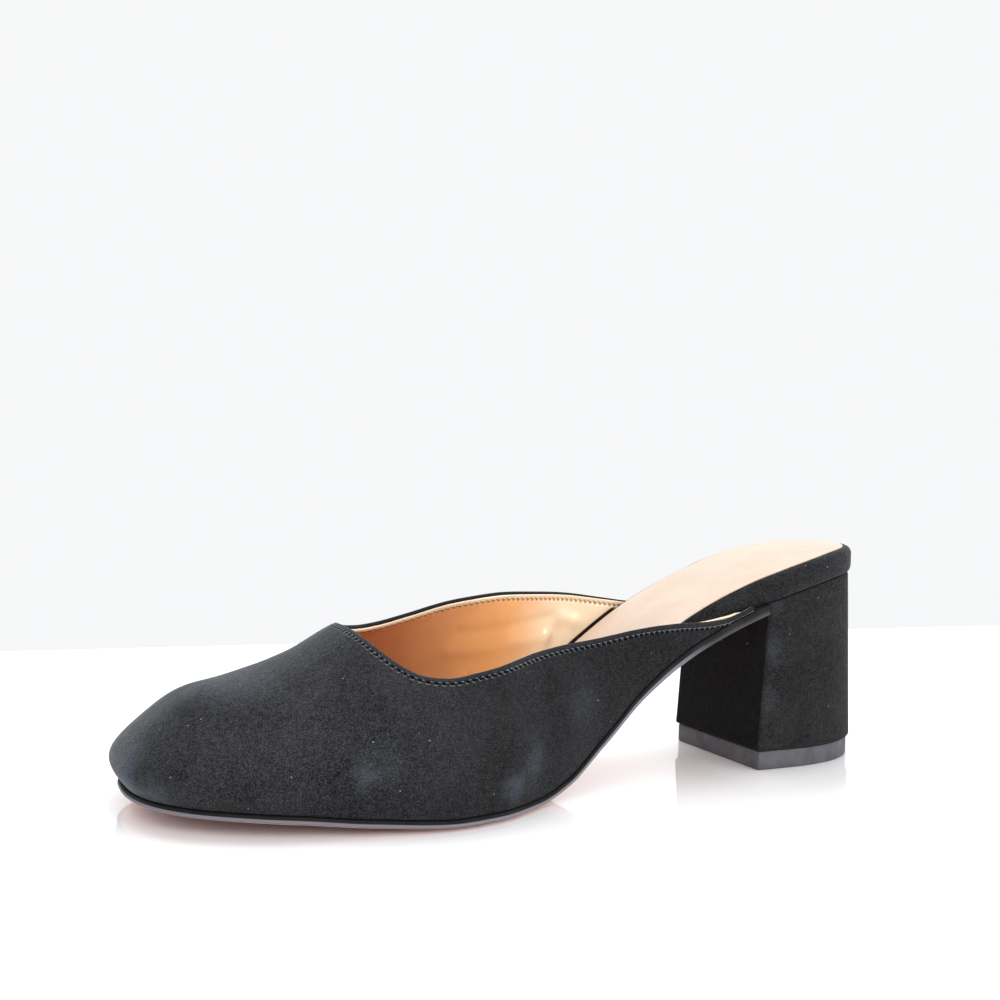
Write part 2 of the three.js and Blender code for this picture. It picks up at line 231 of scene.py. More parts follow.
# Soft troughs (below 0) and ridges of the outside, each between two places given as side, station and share
# of the rib, with its width and depth
OUTSIDE_FOLDS = (
    ((-1, 0.56, 0.24), (-1, 0.66, 0.3), 7.0, -0.35),
    ((-1, 0.6, 0.12), (-1, 0.7, 0.14), 5.0, 0.3),
    ((-1, 0.72, 0.34), (-1, 0.8, 0.28), 8.0, -0.3),
    ((-1, 0.83, 0.2), (-1, 0.87, 0.4), 7.0, 0.3),
    ((-1, 0.91, 0.3), (-1, 0.94, 0.55), 6.0, -0.25),
    ((-1, 0.4, 0.2), (-1, 0.5, 0.22), 6.0, -0.3),
    ((-1, 0.79, 0.72), (1, 0.81, 0.8), 8.0, 0.35),
    ((1, 0.58, 0.26), (1, 0.68, 0.3), 7.0, -0.35),
    ((1, 0.62, 0.12), (1, 0.72, 0.14), 5.0, 0.3),
    ((1, 0.84, 0.22), (1, 0.89, 0.4), 7.0, 0.3),
    ((1, 0.42, 0.2), (1, 0.52, 0.22), 6.0, -0.3),
)
# The same for the lining, where a ridge stands out towards the foot
LINING_FOLDS = (
    ((1, 0.56, 0.43), (1, 0.42, 0.24), 1.9, -0.45),
    ((1, 0.57, 0.35), (1, 0.43, 0.19), 2.6, 0.5),
    ((1, 0.385, 0.14), (1, 0.41, 0.215), 2.2, 0.75),
    ((1, 0.447, 0.1), (1, 0.432, 0.2), 2.0, 0.6),
    ((1, 0.42, 0.08), (1, 0.415, 0.17), 1.8, -0.4),
    ((1, 0.5, 0.1), (1, 0.49, 0.3), 4.0, 0.35),
    ((1, 0.54, 0.1), (1, 0.545, 0.3), 4.0, -0.3),
    ((1, 0.6, 0.1), (1, 0.62, 0.34), 4.0, 0.3),
)
# Places where a bluish sheen is painted on the suede, in millimetres, each with its size and strength: on the
# vamp, near the heel's front edge and on the rand's top
VAMP_PAINTED_SHEEN = (
    (-118, -2, 12, 11, 0.7),
    (-112, -14, 9, 7, 0.35),
    (-88, -4, 34, 14, 0.35),
    (-98, 2, 29, 8, 0.3),
    (-66, -39, 15, 5, 0.42),
    (-62, -39, 18, 9, 0.18),
    (-25, -39, 9, 7, 0.5),
    (-16, -37, 14, 7, 0.3),
    (2, -26, 27, 9, 0.15),
)
HEEL_PAINTED_SHEEN = (
    (73, -20, 52, 6, 0.16),
    (73, -20, 38, 7, 0.2),
    (72, -20, 22, 6, 0.16),
)
RAND_PAINTED_SHEEN = (
    (92, -24, 59, 6, 0.3),
    (112, -14, 64, 6, 0.35),
)

# How fine the meshes are
WING_RIBS = 150
VAMP_RIBS = 90
WALL_COLUMNS = 44
VAMP_CROWDING = 1.35
LINE_SAMPLES = 900
SPACING_SAMPLES = 600
RIB_SAMPLES = 160
ROLL_STEPS = 8
RAIL_ROWS = 150
TOPLINE_STEP = 0.25
HEEL_STEPS = 44
HEEL_SAMPLES = 400
HEEL_REACH = 0.3
BREAST_STEPS = 24
CORNER_STEPS = 7
FOLD_ROWS = 13

# The upper bulges over the sole's edge low down, by a sine times this power of the cosine, scaled up again
BULGE_GAIN = 5
BULGE_POWER = 9
# A sheet's edge that stays below the topline is bent down to there over this distance
DROP_REACH = 8
DROP_POWER = 1.5
DROP_START = 2
# The lining's folds fade towards the topline and stay clear of the suede
FOLD_FADE = 3
TROUGH_LIMIT = -0.45

# How round the heel's cover is at its foot and at its top, and how far forward a face of the breast looks to
# get the breast's painted shade
HEEL_FOOT_ROUND = 0.7
HEEL_TOP_ROUND = 0.8
BREAST_FACING = 0.9
# The first and the last height share of the heel's flat part, and how many loops it has
HEEL_SHARES = (0.08, 0.92, 12)
# Where the lining shows over the fold, as stations with its shares of the full stand, and that stand
LINING_SHOWN = ((0.236, 0.246, 0.265, 0.32), (0, 1, 0.8, 0))
LINING_STAND = 0.8
# The space between suede and lining, and how far the middle of a stitch stands out of either one
SHEET_GAP = 0.02
STITCH_STAND = 0.02
STITCH_LEAN = 0.12
THREAD_TURNS = 9
THREAD_RINGS = 7
THREAD_FULLNESS = 0.8

# Points closer than this are one point, and shorter edges are taken out
WELD = 0.008
SHORT_EDGE = 0.002
# The seam values of a point that is far from any seam
FAR = 99.0

# A plate's top is crowned in full where it is at least this wide, and ends wider than this gap are closed
CROWN_WIDTH = 20
END_GAP = 0.05

# Scales of the patterns in cells to a metre, and how strongly the nap lifts the surface next to a seam
NAP_SCALE = 2900.0
LINT_SCALE = 350.0
SHEEN_SPOT_SCALE = 260.0
SEAM_NAP = 0.06
SEAM_GRAIN = 0.05

LINT = (0.32, 0.31, 0.31, 1.0)
SEAM_SHADE = (0.002, 0.002, 0.002, 1.0)
LINING_SHADE = (0.35, 0.12, 0.03, 1.0)
LINING_HOLE_SHADE = (0.2, 0.08, 0.03, 1.0)
LINING_SHADOW_LINE = (0.03, 0.012, 0.006, 1.0)
TREAD_SHADE = (0.1, 0.04, 0.03, 1.0)
THREAD_INSIDE = ((0.45, 0.2, 0.09), (0.3, 0.13, 0.06))

# Between which distances along the shoe a tone goes over into the next, in metres
WING_NAP = (-0.075, -0.018)
# The lining's tones: a painted shade in front goes over into its own tone and then into a painted highlight
# at the back
LINING_SHADE_FADE = (-0.045, 0.004)
LINING_HIGHLIGHT_RISE = (-0.002, 0.022)
TREAD_TOE = (-0.068, -0.07)
SOLE_HIGHLIGHT_FADE = (0.052, 0.036)

# The camera stands in front of the outer side, a little over the shoe.
CAMERA_PLACE = (-163.17, -315.02, 91.57)
CAMERA_YAW = 25.574
CAMERA_PITCH = 1.484
CAMERA_ROLL = 1.329
CAMERA_LENS = 43.05
CAMERA_SENSOR = 36.0

# The floor is a table top that ends a little behind the shoe. Most light comes from overhead, from a soft sky
# that goes from the first to the second strength of LIGHT_RANGE, and is strongest towards LIGHT_SIDE. How far
# a direction leans to that side, from the first to the second value of LIGHT_LEAN, gives the place between.
FLOOR_CORNERS = ((-0.9, -0.9), (0.9, -0.9), (0.9, 0.179), (-0.9, 0.378))
LIGHT_SIDE = (0.15, 0.1, 0.98)
LIGHT_LEAN = (-0.3, 0.95)
LIGHT_RANGE = (0.62, 1.75)
BACKDROP = 0.945
SKY = (0.985, 0.99, 1.0, 1.0)
# Each lamp's name, place, target, size, power and tint
LAMPS = (
    ("over", (0.1, 0.2, 1.0), (0.0, 0.0, 0.0), 0.6, 5.0, (1.0, 0.985, 0.97)),
    ("front_left", (-0.9, -0.5, 0.5), (-0.08, 0.0, 0.02), 0.5, 1.5, (0.85, 0.92, 1.0)),
    ("low_side", (0.42, -0.62, 0.14), (0.02, 0.02, 0.04), 0.26, 1.7, (1.0, 0.98, 0.96)),
    ("near_side", (0.42, -0.8, 0.45), (0.03, 0.0, 0.03), 0.2, 0.5, (1.0, 0.98, 0.98)),
)


def station_of(t):
    """The parameter goes from 0 at the heel's back to 1 at the toe's tip, in even steps round the ends."""
    return (1 - np.cos(np.pi * t)) / 2


def parameter_of(station):
    return np.arccos(1 - 2 * np.asarray(station, float)) / np.pi


def end_factor(distance, end):
    inward = 1 - np.clip(distance, 0, end[0]) / end[0]
    return (1 - inward ** end[1]) ** (1 / end[1])


def middle_at(station):
    return outline.swing(station) * BALL_WIDTH


def half_width_at(station):
    width = (
        outline.heel(station) * HEEL_WIDTH
        + outline.waist(station) * WAIST_WIDTH
        + outline.ball(station) * BALL_WIDTH
        + outline.toe(station) * TOE_WIDTH
    )
    return width / 2 * end_factor(station, HEEL_END) * end_factor(1 - station, TOE_END)


def outline_base(t, side):
    beyond = (t < 0) | (t > 1)
    folded = np.where(t < 0, -t, np.where(t > 1, 2 - t, t))
    station = station_of(folded)
    half = half_width_at(station) * np.where(beyond, -side, side)
    return np.stack([station * PLAN_LENGTH, middle_at(station) + half], axis=-1)


def outline_point(t, side, grow=0.0):
    """Distances along and across of the outline, moved out by grow. Side is -1 outer, 1 inner."""
    tangent = outline_base(t + SLOPE_STEP, side) - outline_base(t - SLOPE_STEP, side)
    tangent /= np.linalg.norm(tangent, axis=-1, keepdims=True)
    normal = np.stack([-tangent[..., 1], tangent[..., 0]], axis=-1)
    reach = np.broadcast_to(side * grow, t.shape)
    return outline_base(t, side) + normal * reach[..., None]


def sole_line(station):
    return profile.seat(station) * SEAT_RISE + profile.spring(station) * TOE_SPRING


def sole_top(station):
    return sole_line(station) + profile.thickness(station) * OUTSOLE_THICKNESS


def feather_height(station):
    return sole_top(station) + CLEARANCE


def insole_top(station):
    spare = INSOLE_SEAT_THICKNESS - INSOLE_TOE_THICKNESS
    return feather_height(station) + INSOLE_TOE_THICKNESS + spare * board.thickness(station)


def ridge_height(station):
    return feather_height(station) + section.ridge(station) * INSTEP_RISE


def topline_height(station, side):
    """The topline's height stands over the feather line at the throat, by a share of a rise that goes over
    from the seat's to the instep's."""
    share = np.where(side < 0, topline.outer(station), topline.inner(station))
    rise = INSTEP_RISE + topline.seat(station) * (SEAT_RISE - INSTEP_RISE)
    return feather_height(THROAT_STATION) + share * rise


def place(along, across, height):
    """A point of the shoe from its distances along and across the outline and its height."""
    return np.stack([PLAN_LENGTH - along + SHIFT_X, across + SHIFT_Y, height], axis=-1)


def station_at(point):
    return (PLAN_LENGTH + SHIFT_X - point[..., 0]) / PLAN_LENGTH


def ridge_station_of(station):
    """The ridge station that a rib from this station of the feather line runs to."""
    left = np.clip(1 - (station - FAN_START) / (1 - FAN_START), 0, 1)
    fanned = FAN_START + (RIDGE_END - FAN_START) * (1 - left**FAN_REACH)
    return np.where(station <= FAN_START, station, fanned)


def throat_parameter():
    """The rib that starts the closed vamp in front of the throat."""
    left = (1 - (THROAT_STATION - FAN_START) / (RIDGE_END - FAN_START)) ** (1 / FAN_REACH)
    return float(parameter_of(FAN_START + (1 - left) * (1 - FAN_START)))


def upper_point(t, side, angle):
    """The outside of the upper: a rib rises from the feather line at no angle to the ridge at a right one."""
    t, side, angle = np.broadcast_arrays(t, side, angle)
    side = np.where(t > 1, -side, side)
    t = np.where(t > 1, 2 - t, t)
    station = station_of(t)
    foot = outline_point(t, side, -FEATHER_INSET)
    ridge_station = ridge_station_of(station)
    middle = middle_at(ridge_station) + section.lean(ridge_station) * BALL_WIDTH
    ridge = np.stack([ridge_station * PLAN_LENGTH, middle], axis=-1)
    power = 2 / section.fullness(station)
    inward = 1 - np.maximum(np.cos(angle), 0) ** power
    upward = np.maximum(np.sin(angle), 0) ** power
    overhang = section.bulge(station) * BALL_WIDTH * BULGE_GAIN * np.sin(angle) * np.cos(angle) ** BULGE_POWER
    outward = outline_point(t, side, 1) - outline_point(t, side, 0)
    plan = foot + (ridge - foot) * inward[..., None] + outward * overhang[..., None]
    base = feather_height(foot[..., 0] / PLAN_LENGTH)
    roof = ridge_height(plan[..., 0] / PLAN_LENGTH)
    return place(plan[..., 0], plan[..., 1], base + (roof - base) * upward)


def unit(vectors):
    return vectors / np.linalg.norm(vectors, axis=-1, keepdims=True)


def run_along(points):
    """The distance of each point along a line of points."""
    return np.concatenate([[0], np.cumsum(np.linalg.norm(np.diff(points, axis=0), axis=1))])


def outward_normal(t, side, angle):
    """The direction out of the upper's wall."""
    turn = np.clip(angle, SLOPE_STEP, RIGHT_ANGLE - SLOPE_STEP)
    along = upper_point(t + SLOPE_STEP, side, turn) - upper_point(t - SLOPE_STEP, side, turn)
    up = upper_point(t, side, turn + SLOPE_STEP) - upper_point(t, side, turn - SLOPE_STEP)
    return unit(np.cross(along, up) * np.asarray(side)[..., None])


def topline_angle(t, side):
    """The angle at which a rib reaches the topline, or a right angle in front of the throat."""
    base = feather_height(station_of(t))
    low = np.zeros_like(t)
    high = np.full_like(t, RIGHT_ANGLE)
    for _ in range(HALVINGS):
        angle = (low + high) / 2
        point = upper_point(t, side, angle)
        below = point[..., 2] < np.maximum(topline_height(station_at(point), side), base + TAIL_HEIGHT)
        low = np.where(below, angle, low)
        high = np.where(below, high, angle)
    closed = ridge_station_of(station_of(t)) >= THROAT_STATION - NEARLY
    return np.where(closed, RIGHT_ANGLE, low)


def topline_parameters(count):
    """The parameters of the ribs that end at the topline, closer and closer from the tail to the throat."""
    first = parameter_of(TAIL_STATION)
    return first + (throat_parameter() - first) * (1 - (1 - np.linspace(0, 1, count)) ** 3)


@functools.lru_cache(maxsize=1)
def topline_run():
    """Even steps along the topline from the outer tail over the throat to the inner tail: each one's place,
    the wall's outward direction, the run's direction, the way out over the edge, and the distance."""
    t = topline_parameters(LINE_SAMPLES)
    halves = []
    for side in (-1, 1):
        sides = np.full_like(t, side)
        angle = topline_angle(t, sides)
        angle[-1] = RIGHT_ANGLE
        halves.append((upper_point(t, sides, angle), outward_normal(t, sides, angle)))
    points = np.concatenate([halves[0][0], halves[1][0][-2::-1]])
    normals = np.concatenate([halves[0][1], halves[1][1][-2::-1]])
    run = run_along(points)
    even = np.linspace(0, run[-1], int(run[-1] / TOPLINE_STEP))
    points = np.stack([np.interp(even, run, points[:, k]) for k in range(3)], axis=-1)
    normals = unit(np.stack([np.interp(even, run, normals[:, k]) for k in range(3)], axis=-1))
    forward = unit(np.gradient(points, axis=0))
    over = unit(np.cross(forward, normals))
    return SimpleNamespace(points=points, normals=normals, forward=forward, over=over, run=even)


def nearest_on_topline(points):
    """The distance of each point from the topline, and the step of the topline that is nearest."""
    line = topline_run()
    tree = KDTree(len(line.points))
    for index, point in enumerate(line.points):
        tree.insert(point, index)
    tree.balance()
    found = [tree.find(point)[1:] for point in points.reshape(-1, 3)]
    index = np.array([f[0] for f in found]).reshape(points.shape[:-1])
    distance = np.array([f[1] for f in found]).reshape(points.shape[:-1])
    return distance, index


def fold_relief(points, folds):
    """How far each point is moved out by the soft folds that are given."""
    moved = np.zeros(points.shape[:-1])
    for start, end, width, depth in folds:
        ends = [upper_point(parameter_of(at), side, share * RIGHT_ANGLE) for side, at, share in (start, end)]
        line = ends[1] - ends[0]
        share = np.clip((points - ends[0]) @ line / (line @ line), 0, 1)
        away = np.linalg.norm(points - ends[0] - share[..., None] * line, axis=-1)
        moved += depth * np.exp(-((away / width) ** 2))
    return moved


@functools.lru_cache(maxsize=1)
def wall_ribs():
    """The parameters of the upper's ribs, even along the topline and then closer behind the throat."""
    throat = throat_parameter()
    dense = topline_parameters(SPACING_SAMPLES)
    length = np.zeros(len(dense))
    for side in (-1, 1):
        sides = np.full_like(dense, side)
        length += run_along(upper_point(dense, sides, topline_angle(dense, sides))) / topline_run().run[-1]
    wing = np.interp(np.linspace(0, length[-1], WING_RIBS + 1), length, dense)
    vamp = throat + (1 - throat) * np.linspace(0, 1, VAMP_RIBS + 1) ** VAMP_CROWDING
    return wing, vamp


@functools.lru_cache(maxsize=2)
def outside_skin(side):
    """The upper's outside on one side, a row for each rib, with its normals and its place to the topline."""
    wing, vamp = wall_ribs()
    t = np.concatenate([wing, vamp[1:]])
    sides = np.where(t >= 1, -1.0, side)
    reach = topline_angle(t, sides)
    reach[len(wing) - 1] = RIGHT_ANGLE
    share = np.linspace(0, 1, RIB_SAMPLES)
    angles = np.empty((len(t), WALL_COLUMNS + 1))
    for i in range(len(t)):
        turns = share * reach[i]
        rib = upper_point(np.full_like(turns, t[i]), np.full_like(turns, sides[i]), turns)
        length = run_along(rib)
        angles[i] = np.interp(np.linspace(0, length[-1], WALL_COLUMNS + 1), length, turns)
    t = np.broadcast_to(t[:, None], angles.shape)
    sides = np.broadcast_to(sides[:, None], angles.shape)
    points = upper_point(t, sides, angles)
    normals = outward_normal(t, sides, angles)
    ridge = angles[:, -1] > RIGHT_ANGLE - NEARLY
    other = outward_normal(t[ridge, -1], -sides[ridge, -1], angles[ridge, -1])
    normals[ridge, -1] = unit(normals[ridge, -1] + other)
    climb = np.stack([run_along(rib) for rib in points])
    distance, index = nearest_on_topline(points)
    return SimpleNamespace(points=points, normals=normals, climb=climb, distance=distance, index=index)


def wall_sheet(outer_depth, inner_depth, drop_at, folds, side):
    """One sheet of the upper's wall on one side, between two depths from the outside. Its edge is half round
    and stays below the topline by drop_at of the run. A sheet that starts at the outside has its folds
    there, and another one has them on its inside. Returns grids of points with their seam values."""
    skin = outside_skin(side)
    line = topline_run()
    wing = len(wall_ribs()[0])
    drop = drop_at(line)[skin.index]
    near = np.clip(1 - skin.distance / DROP_REACH, 0, 1) ** DROP_POWER
    near *= np.clip(skin.climb / DROP_START, 0, 1)
    base = skin.points - line.over[skin.index] * (drop * near)[..., None]
    relief = fold_relief(skin.points, folds)
    faded = np.maximum(relief, TROUGH_LIMIT) * np.clip(skin.distance / FOLD_FADE, 0, 1)
    outer = base + skin.normals * (relief * (outer_depth == 0) - outer_depth)[..., None]
    inner = base - skin.normals * (inner_depth + faded * (outer_depth > 0))[..., None]
    for sheet in (inner, outer):
        sheet[..., 2] = np.maximum(sheet[..., 2], feather_height(station_at(sheet)))
    above = inner[..., 2] - insole_top(station_at(inner))
    seam = np.stack([skin.distance, line.run[skin.index], above], axis=-1)
    turn = np.linspace(0, np.pi, ROLL_STEPS + 1)[1:-1]
    middle = (outer[:wing, -1] + inner[:wing, -1]) / 2
    across = (outer[:wing, -1] - inner[:wing, -1]) / 2
    radius = np.linalg.norm(across, axis=-1)
    over = line.over[skin.index[:wing, -1]]
    roll = (
        middle[:, None]
        + across[:, None] * np.cos(turn)[None, :, None]
        + over[:, None] * (np.sin(turn)[None, :] * radius[:, None])[..., None]
    )
    roll = np.concatenate([roll, np.broadcast_to(seam[:wing, -1][:, None], roll.shape)], axis=-1)
    outer = np.concatenate([outer, seam], axis=-1)
    inner = np.concatenate([inner, seam], axis=-1)
    open_part = np.concatenate([outer[:wing], roll, inner[:wing, ::-1]], axis=1)
    half = open_part.shape[1] // 2 + 1
    tail = np.stack([open_part[0, :half], open_part[0, ::-1][:half]])
    feather = np.stack([outer[:, 0], inner[:, 0]])
    sheets = (open_part, outer[wing - 1 :], inner[wing - 1 :], tail, feather)
    return [(sheet[..., :3], 0, sheet[..., 3:]) for sheet in sheets]


def make_piece(name, grids, finishes, stands_for=None, sharp=45):
    """One piece from grids of points in millimetres. Each grid has its material's number and seam values, and
    edges sharper than this angle in degrees stay sharp."""
    points = []
    quads = []
    numbers = []
    seams = []
    count = 0
    for grid, number, seam in grids:
        rows, columns = grid.shape[:2]
        corner = count + np.arange(rows * columns).reshape(rows, columns)
        quad = np.stack([corner[:-1, :-1], corner[1:, :-1], corner[1:, 1:], corner[:-1, 1:]], axis=-1)
        points.append(grid.reshape(-1, 3) * MM)
        quads.append(quad.reshape(-1, 4))
        numbers.append(np.full(len(quads[-1]), number))
        seams.append(np.full((rows * columns, 3), FAR) if seam is None else seam.reshape(-1, 3))
        count += rows * columns
    mesh = bpy.data.meshes.new(name)
    mesh.from_pydata(np.concatenate(points).tolist(), [], np.concatenate(quads).tolist())
    mesh.polygons.foreach_set("material_index", np.concatenate(numbers).astype(np.int32))
    for column, layer in enumerate(("seam_distance", "seam_run", "above_insole")):
        values = np.concatenate(seams)[:, column].astype(np.float32)
        mesh.attributes.new(layer, "FLOAT", "POINT").data.foreach_set("value", values)
    tidy = bmesh.new()
    tidy.from_mesh(mesh)
    bmesh.ops.remove_doubles(tidy, verts=tidy.verts, dist=WELD * MM)
    bmesh.ops.dissolve_degenerate(tidy, edges=tidy.edges, dist=SHORT_EDGE * MM)
    bmesh.ops.recalc_face_normals(tidy, faces=tidy.faces)
    tidy.to_mesh(mesh)
    tidy.free()
    mesh.polygons.foreach_set("use_smooth", np.ones(len(mesh.polygons), bool))
    mesh.set_sharp_from_angle(angle=math.radians(sharp))
    for finish in finishes:
        mesh.materials.append(finish)
    piece = bpy.data.objects.new(name, mesh)
    bpy.context.scene.collection.objects.link(piece)
    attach(piece, "root")
    if stands_for:
        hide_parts(stands_for)
    return piece


def plate_grids(levels, start, end, across=1, crown=0.0, underside=0):
    """The grids of a solid that follows the outline. Each level is how far it grows and its height, both as
    functions of the station. The top is crowned across, and the underside has its own material's number."""
    ends = parameter_of(np.array([start, end]))
    t = np.linspace(ends[0], ends[1], RAIL_ROWS + 1)

    def rail(level, side):
        plan = outline_point(t, np.full_like(t, side), level[0](station_of(t)))
        return place(plan[:, 0], plan[:, 1], level[1](plan[:, 0] / PLAN_LENGTH))

    def sheet(level, rise):
        share = np.linspace(0, 1, across + 1)[:, None, None]
        left = rail(level, -1)
        right = rail(level, 1)
        grid = left[None] * (1 - share) + right[None] * share
        width = np.linalg.norm(right - left, axis=-1)
        shape = 1 - (2 * share[..., 0] - 1) ** 4
        grid[..., 2] += rise * shape * np.clip(width / CROWN_WIDTH, 0, 1)[None]
        return grid

    grids = [(np.stack([rail(level, side) for level in levels]), 0, None) for side in (-1, 1)]
    grids.append((sheet(levels[0], 0), underside, None))
    grids.append((sheet(levels[-1], crown), 0, None))
    for row in (0, -1):
        cap = np.stack([[rail(level, side)[row] for level in levels] for side in (-1, 1)])
        if np.linalg.norm(cap[0] - cap[1], axis=-1).max() > END_GAP:
            grids.append((cap, 0, None))
    return grids


def insole_grow(station):
    return -(FEATHER_INSET + UPPER_WALL + CLEARANCE) * board.tuck(station)


def insole_round(station):
    """The wrapped edge is round behind the upper's tails and nearly square inside the upper."""
    return EDGE_ROUND + (TUCKED_ROUND - EDGE_ROUND) * board.tuck(station)


def breast_at(share):
    """How far forward the breast stands at a height share from 0 at the floor to 1 at the seat."""
    return HEEL_SEAT_LENGTH + BREAST_LEAN * (1 - share)


def heel_loop(share, inset, corner=1.5):
    """The heel's section at a height share as a closed loop: the round back, and a flat breast with softly
    rounded corners."""
    first = HEEL_INSET + inset
    back = first - HEEL_BACK_LEAN * (1 - share)
    breast = breast_at(share) - inset
    dense = np.linspace(0, float(parameter_of(HEEL_REACH)), HEEL_SAMPLES)

    def rail(t, side):
        plan = outline_point(t, np.full_like(t, side), -HEEL_INSET - inset)
        along = back + (plan[:, 0] - first) * (breast - back) / (HEEL_SEAT_LENGTH - first)
        return np.stack([along, plan[:, 1]], axis=-1)

    sides = []
    for side in (-1, 1):
        whole = rail(dense, side)
        cut = np.interp(breast - corner, whole[:, 0], dense)
        points = rail(np.linspace(0, cut, HEEL_STEPS), side)
        tip = np.array([breast, np.interp(breast, whole[:, 0], whole[:, 1])])
        sides.append((points, tip))
    (outer, outer_tip), (inner, inner_tip) = sides
    across = unit(inner_tip - outer_tip)
    outer_flat = outer_tip + across * corner
    inner_flat = inner_tip - across * corner
    bend = np.linspace(0, 1, CORNER_STEPS)[1:-1, None]
    outer_arc = outer[-1] * (1 - bend) ** 2 + outer_tip * 2 * bend * (1 - bend) + outer_flat * bend**2
    inner_arc = inner_flat * (1 - bend) ** 2 + inner_tip * 2 * bend * (1 - bend) + inner[-1] * bend**2
    flat = outer_flat + (inner_flat - outer_flat) * np.linspace(0, 1, BREAST_STEPS)[:, None]
    return np.concatenate([outer, outer_arc, flat, inner_arc, inner[::-1]])


def loop_grids(loops):
    """A closed solid from loops of points, one above the other, with its ends closed by folding them flat."""
    stack = np.stack(loops)
    stack = np.concatenate([stack, stack[:, :1]], axis=1)
    grids = [(stack, 0, None)]
    for loop in (stack[0], stack[-1]):
        half = len(loop) // 2 + 1
        share = np.linspace(0, 1, FOLD_ROWS)[:, None, None]
        grids.append((loop[None, :half] * (1 - share) + loop[::-1][None, :half] * share, 0, None))
    return grids


def in_mm(value):
    return value / MM


def socket_group(name, inputs, outputs):
    """A new node group with its named sockets. The kind of an input follows from its value."""
    kinds = {1: "NodeSocketFloat", 3: "NodeSocketVector", 4: "NodeSocketColor"}
    tree = bpy.data.node_groups.new(name, "ShaderNodeTree")
    for label, value in inputs.items():
        socket = tree.interface.new_socket(label, in_out="INPUT", socket_type=kinds[np.size(value)])
        socket.default_value = value
    for label in outputs:
        kind = "NodeSocketColor" if label == "Color" else "NodeSocketFloat"
        tree.interface.new_socket(label, in_out="OUTPUT", socket_type=kind)
    return tree, tree.nodes.new("NodeGroupInput").outputs, tree.nodes.new("NodeGroupOutput").inputs


def feed(tree, value, socket):
    """Links a socket to an input, or sets the input to a value."""
    if isinstance(value, bpy.types.NodeSocket):
        tree.links.new(value, socket)
    else:
        socket.default_value = value


def add(tree, kind, inputs=(), **settings):
    """A new node with its settings, and its inputs as values or as sockets to link from."""
    made = tree.nodes.new(kind)
    for key, value in settings.items():
        setattr(made, key, value)
    for key, value in dict(inputs).items():
        feed(tree, value, made.inputs[key])
    return made


def maths(tree, operation, first, second=0.0, third=0.0, clamp=False):
    inputs = {0: first, 1: second, 2: third}
    return add(tree, "ShaderNodeMath", inputs, operation=operation, use_clamp=clamp).outputs[0]


def scaled(tree, value, factor, plus=0.0, clamp=False):
    """A value times a factor, plus another value."""
    return maths(tree, "MULTIPLY_ADD", value, factor, plus, clamp)


def mixed(tree, factor, first, second):
    return add(tree, "ShaderNodeMix", {0: factor, 6: first, 7: second}, data_type="RGBA").outputs[2]


def ranged(tree, value, low, high, to_low=0.0, to_high=1.0, soft=True):
    kind = "SMOOTHSTEP" if soft else "LINEAR"
    inputs = {0: value, 1: low, 2: high, 3: to_low, 4: to_high}
    return add(tree, "ShaderNodeMapRange", inputs, interpolation_type=kind).outputs[0]


def noise(tree, where, scale, detail, roughness, distortion=0.0):
    inputs = {"Vector": where, "Scale": scale, "Detail": detail, "Roughness": roughness}
    return add(tree, "ShaderNodeTexNoise", {**inputs, "Distortion": distortion}).outputs[0]


def object_place(tree):
    return add(tree, "ShaderNodeTexCoord").outputs["Object"]


def object_axes(tree):
    """The distances along the three axes of the shoe, in metres."""
    return add(tree, "ShaderNodeSeparateXYZ", {0: object_place(tree)}).outputs


def attribute(tree, name):
    return add(tree, "ShaderNodeAttribute", attribute_name=name).outputs["Fac"]


def colour(value, share=1.0):
    """A colour with its alpha, scaled by a share but never past white."""
    return (*(min(1.0, share * c) for c in value[:3]), 1.0)


def nap_group():
    """Suede: a fine speckled nap over soft brush-marked clouds, a bluish painted sheen where the sheen mask
    is given, and a few specks of lint.
    """
    if "Suede Nap" in bpy.data.node_groups:
        return bpy.data.node_groups["Suede Nap"]
    inputs = {
        "Dark": (0.01, 0.01, 0.01, 1.0),
        "Light": (0.05, 0.05, 0.05, 1.0),
        "Nap Scale": 3000.0,
        "Cloud Scale": 40.0,
        "Rubbed": (0.1, 0.12, 0.15, 1.0),
        "Rub": 0.0,
    }
    tree, given, asked = socket_group("Suede Nap", inputs, ("Color", "Roughness", "Height"))
    where = object_place(tree)
    fine = noise(tree, where, given["Nap Scale"], 2.0, 0.7)
    coarse = noise(tree, where, maths(tree, "MULTIPLY", given["Nap Scale"], 0.22), 3.0, 0.65)
    cloud = noise(tree, where, given["Cloud Scale"], 3.0, 0.55, 0.6)
    speck = ranged(tree, fine, 0.44, 0.62)
    grain = ranged(tree, coarse, 0.34, 0.7)
    patch = ranged(tree, cloud, 0.36, 0.68)
    share = scaled(tree, grain, 0.16, scaled(tree, speck, 0.66))
    share = scaled(tree, patch, 0.18, share, clamp=True)
    plain = mixed(tree, share, given["Dark"], given["Light"])
    # Painted sheen: the nap goes over to a lighter bluish tone where the sheen mask is given.
    with_sheen = mixed(tree, scaled(tree, share, 0.5, 0.5), plain, given["Rubbed"])
    nap = mixed(tree, given["Rub"], plain, with_sheen)
    cells = add(tree, "ShaderNodeTexVoronoi", {"Vector": where, "Scale": LINT_SCALE})
    dot = ranged(tree, cells.outputs["Distance"], 0.075, 0.04)
    chosen = add(tree, "ShaderNodeSeparateColor", {0: cells.outputs["Color"]}).outputs[0]
    lint = maths(tree, "MULTIPLY", dot, ranged(tree, chosen, 0.7, 0.75))
    feed(tree, mixed(tree, lint, nap, LINT), asked["Color"])
    feed(tree, ranged(tree, grain, 0.0, 1.0, 0.98, 0.86), asked["Roughness"])
    feed(tree, scaled(tree, grain, 0.55, scaled(tree, speck, 0.45)), asked["Height"])
    return tree


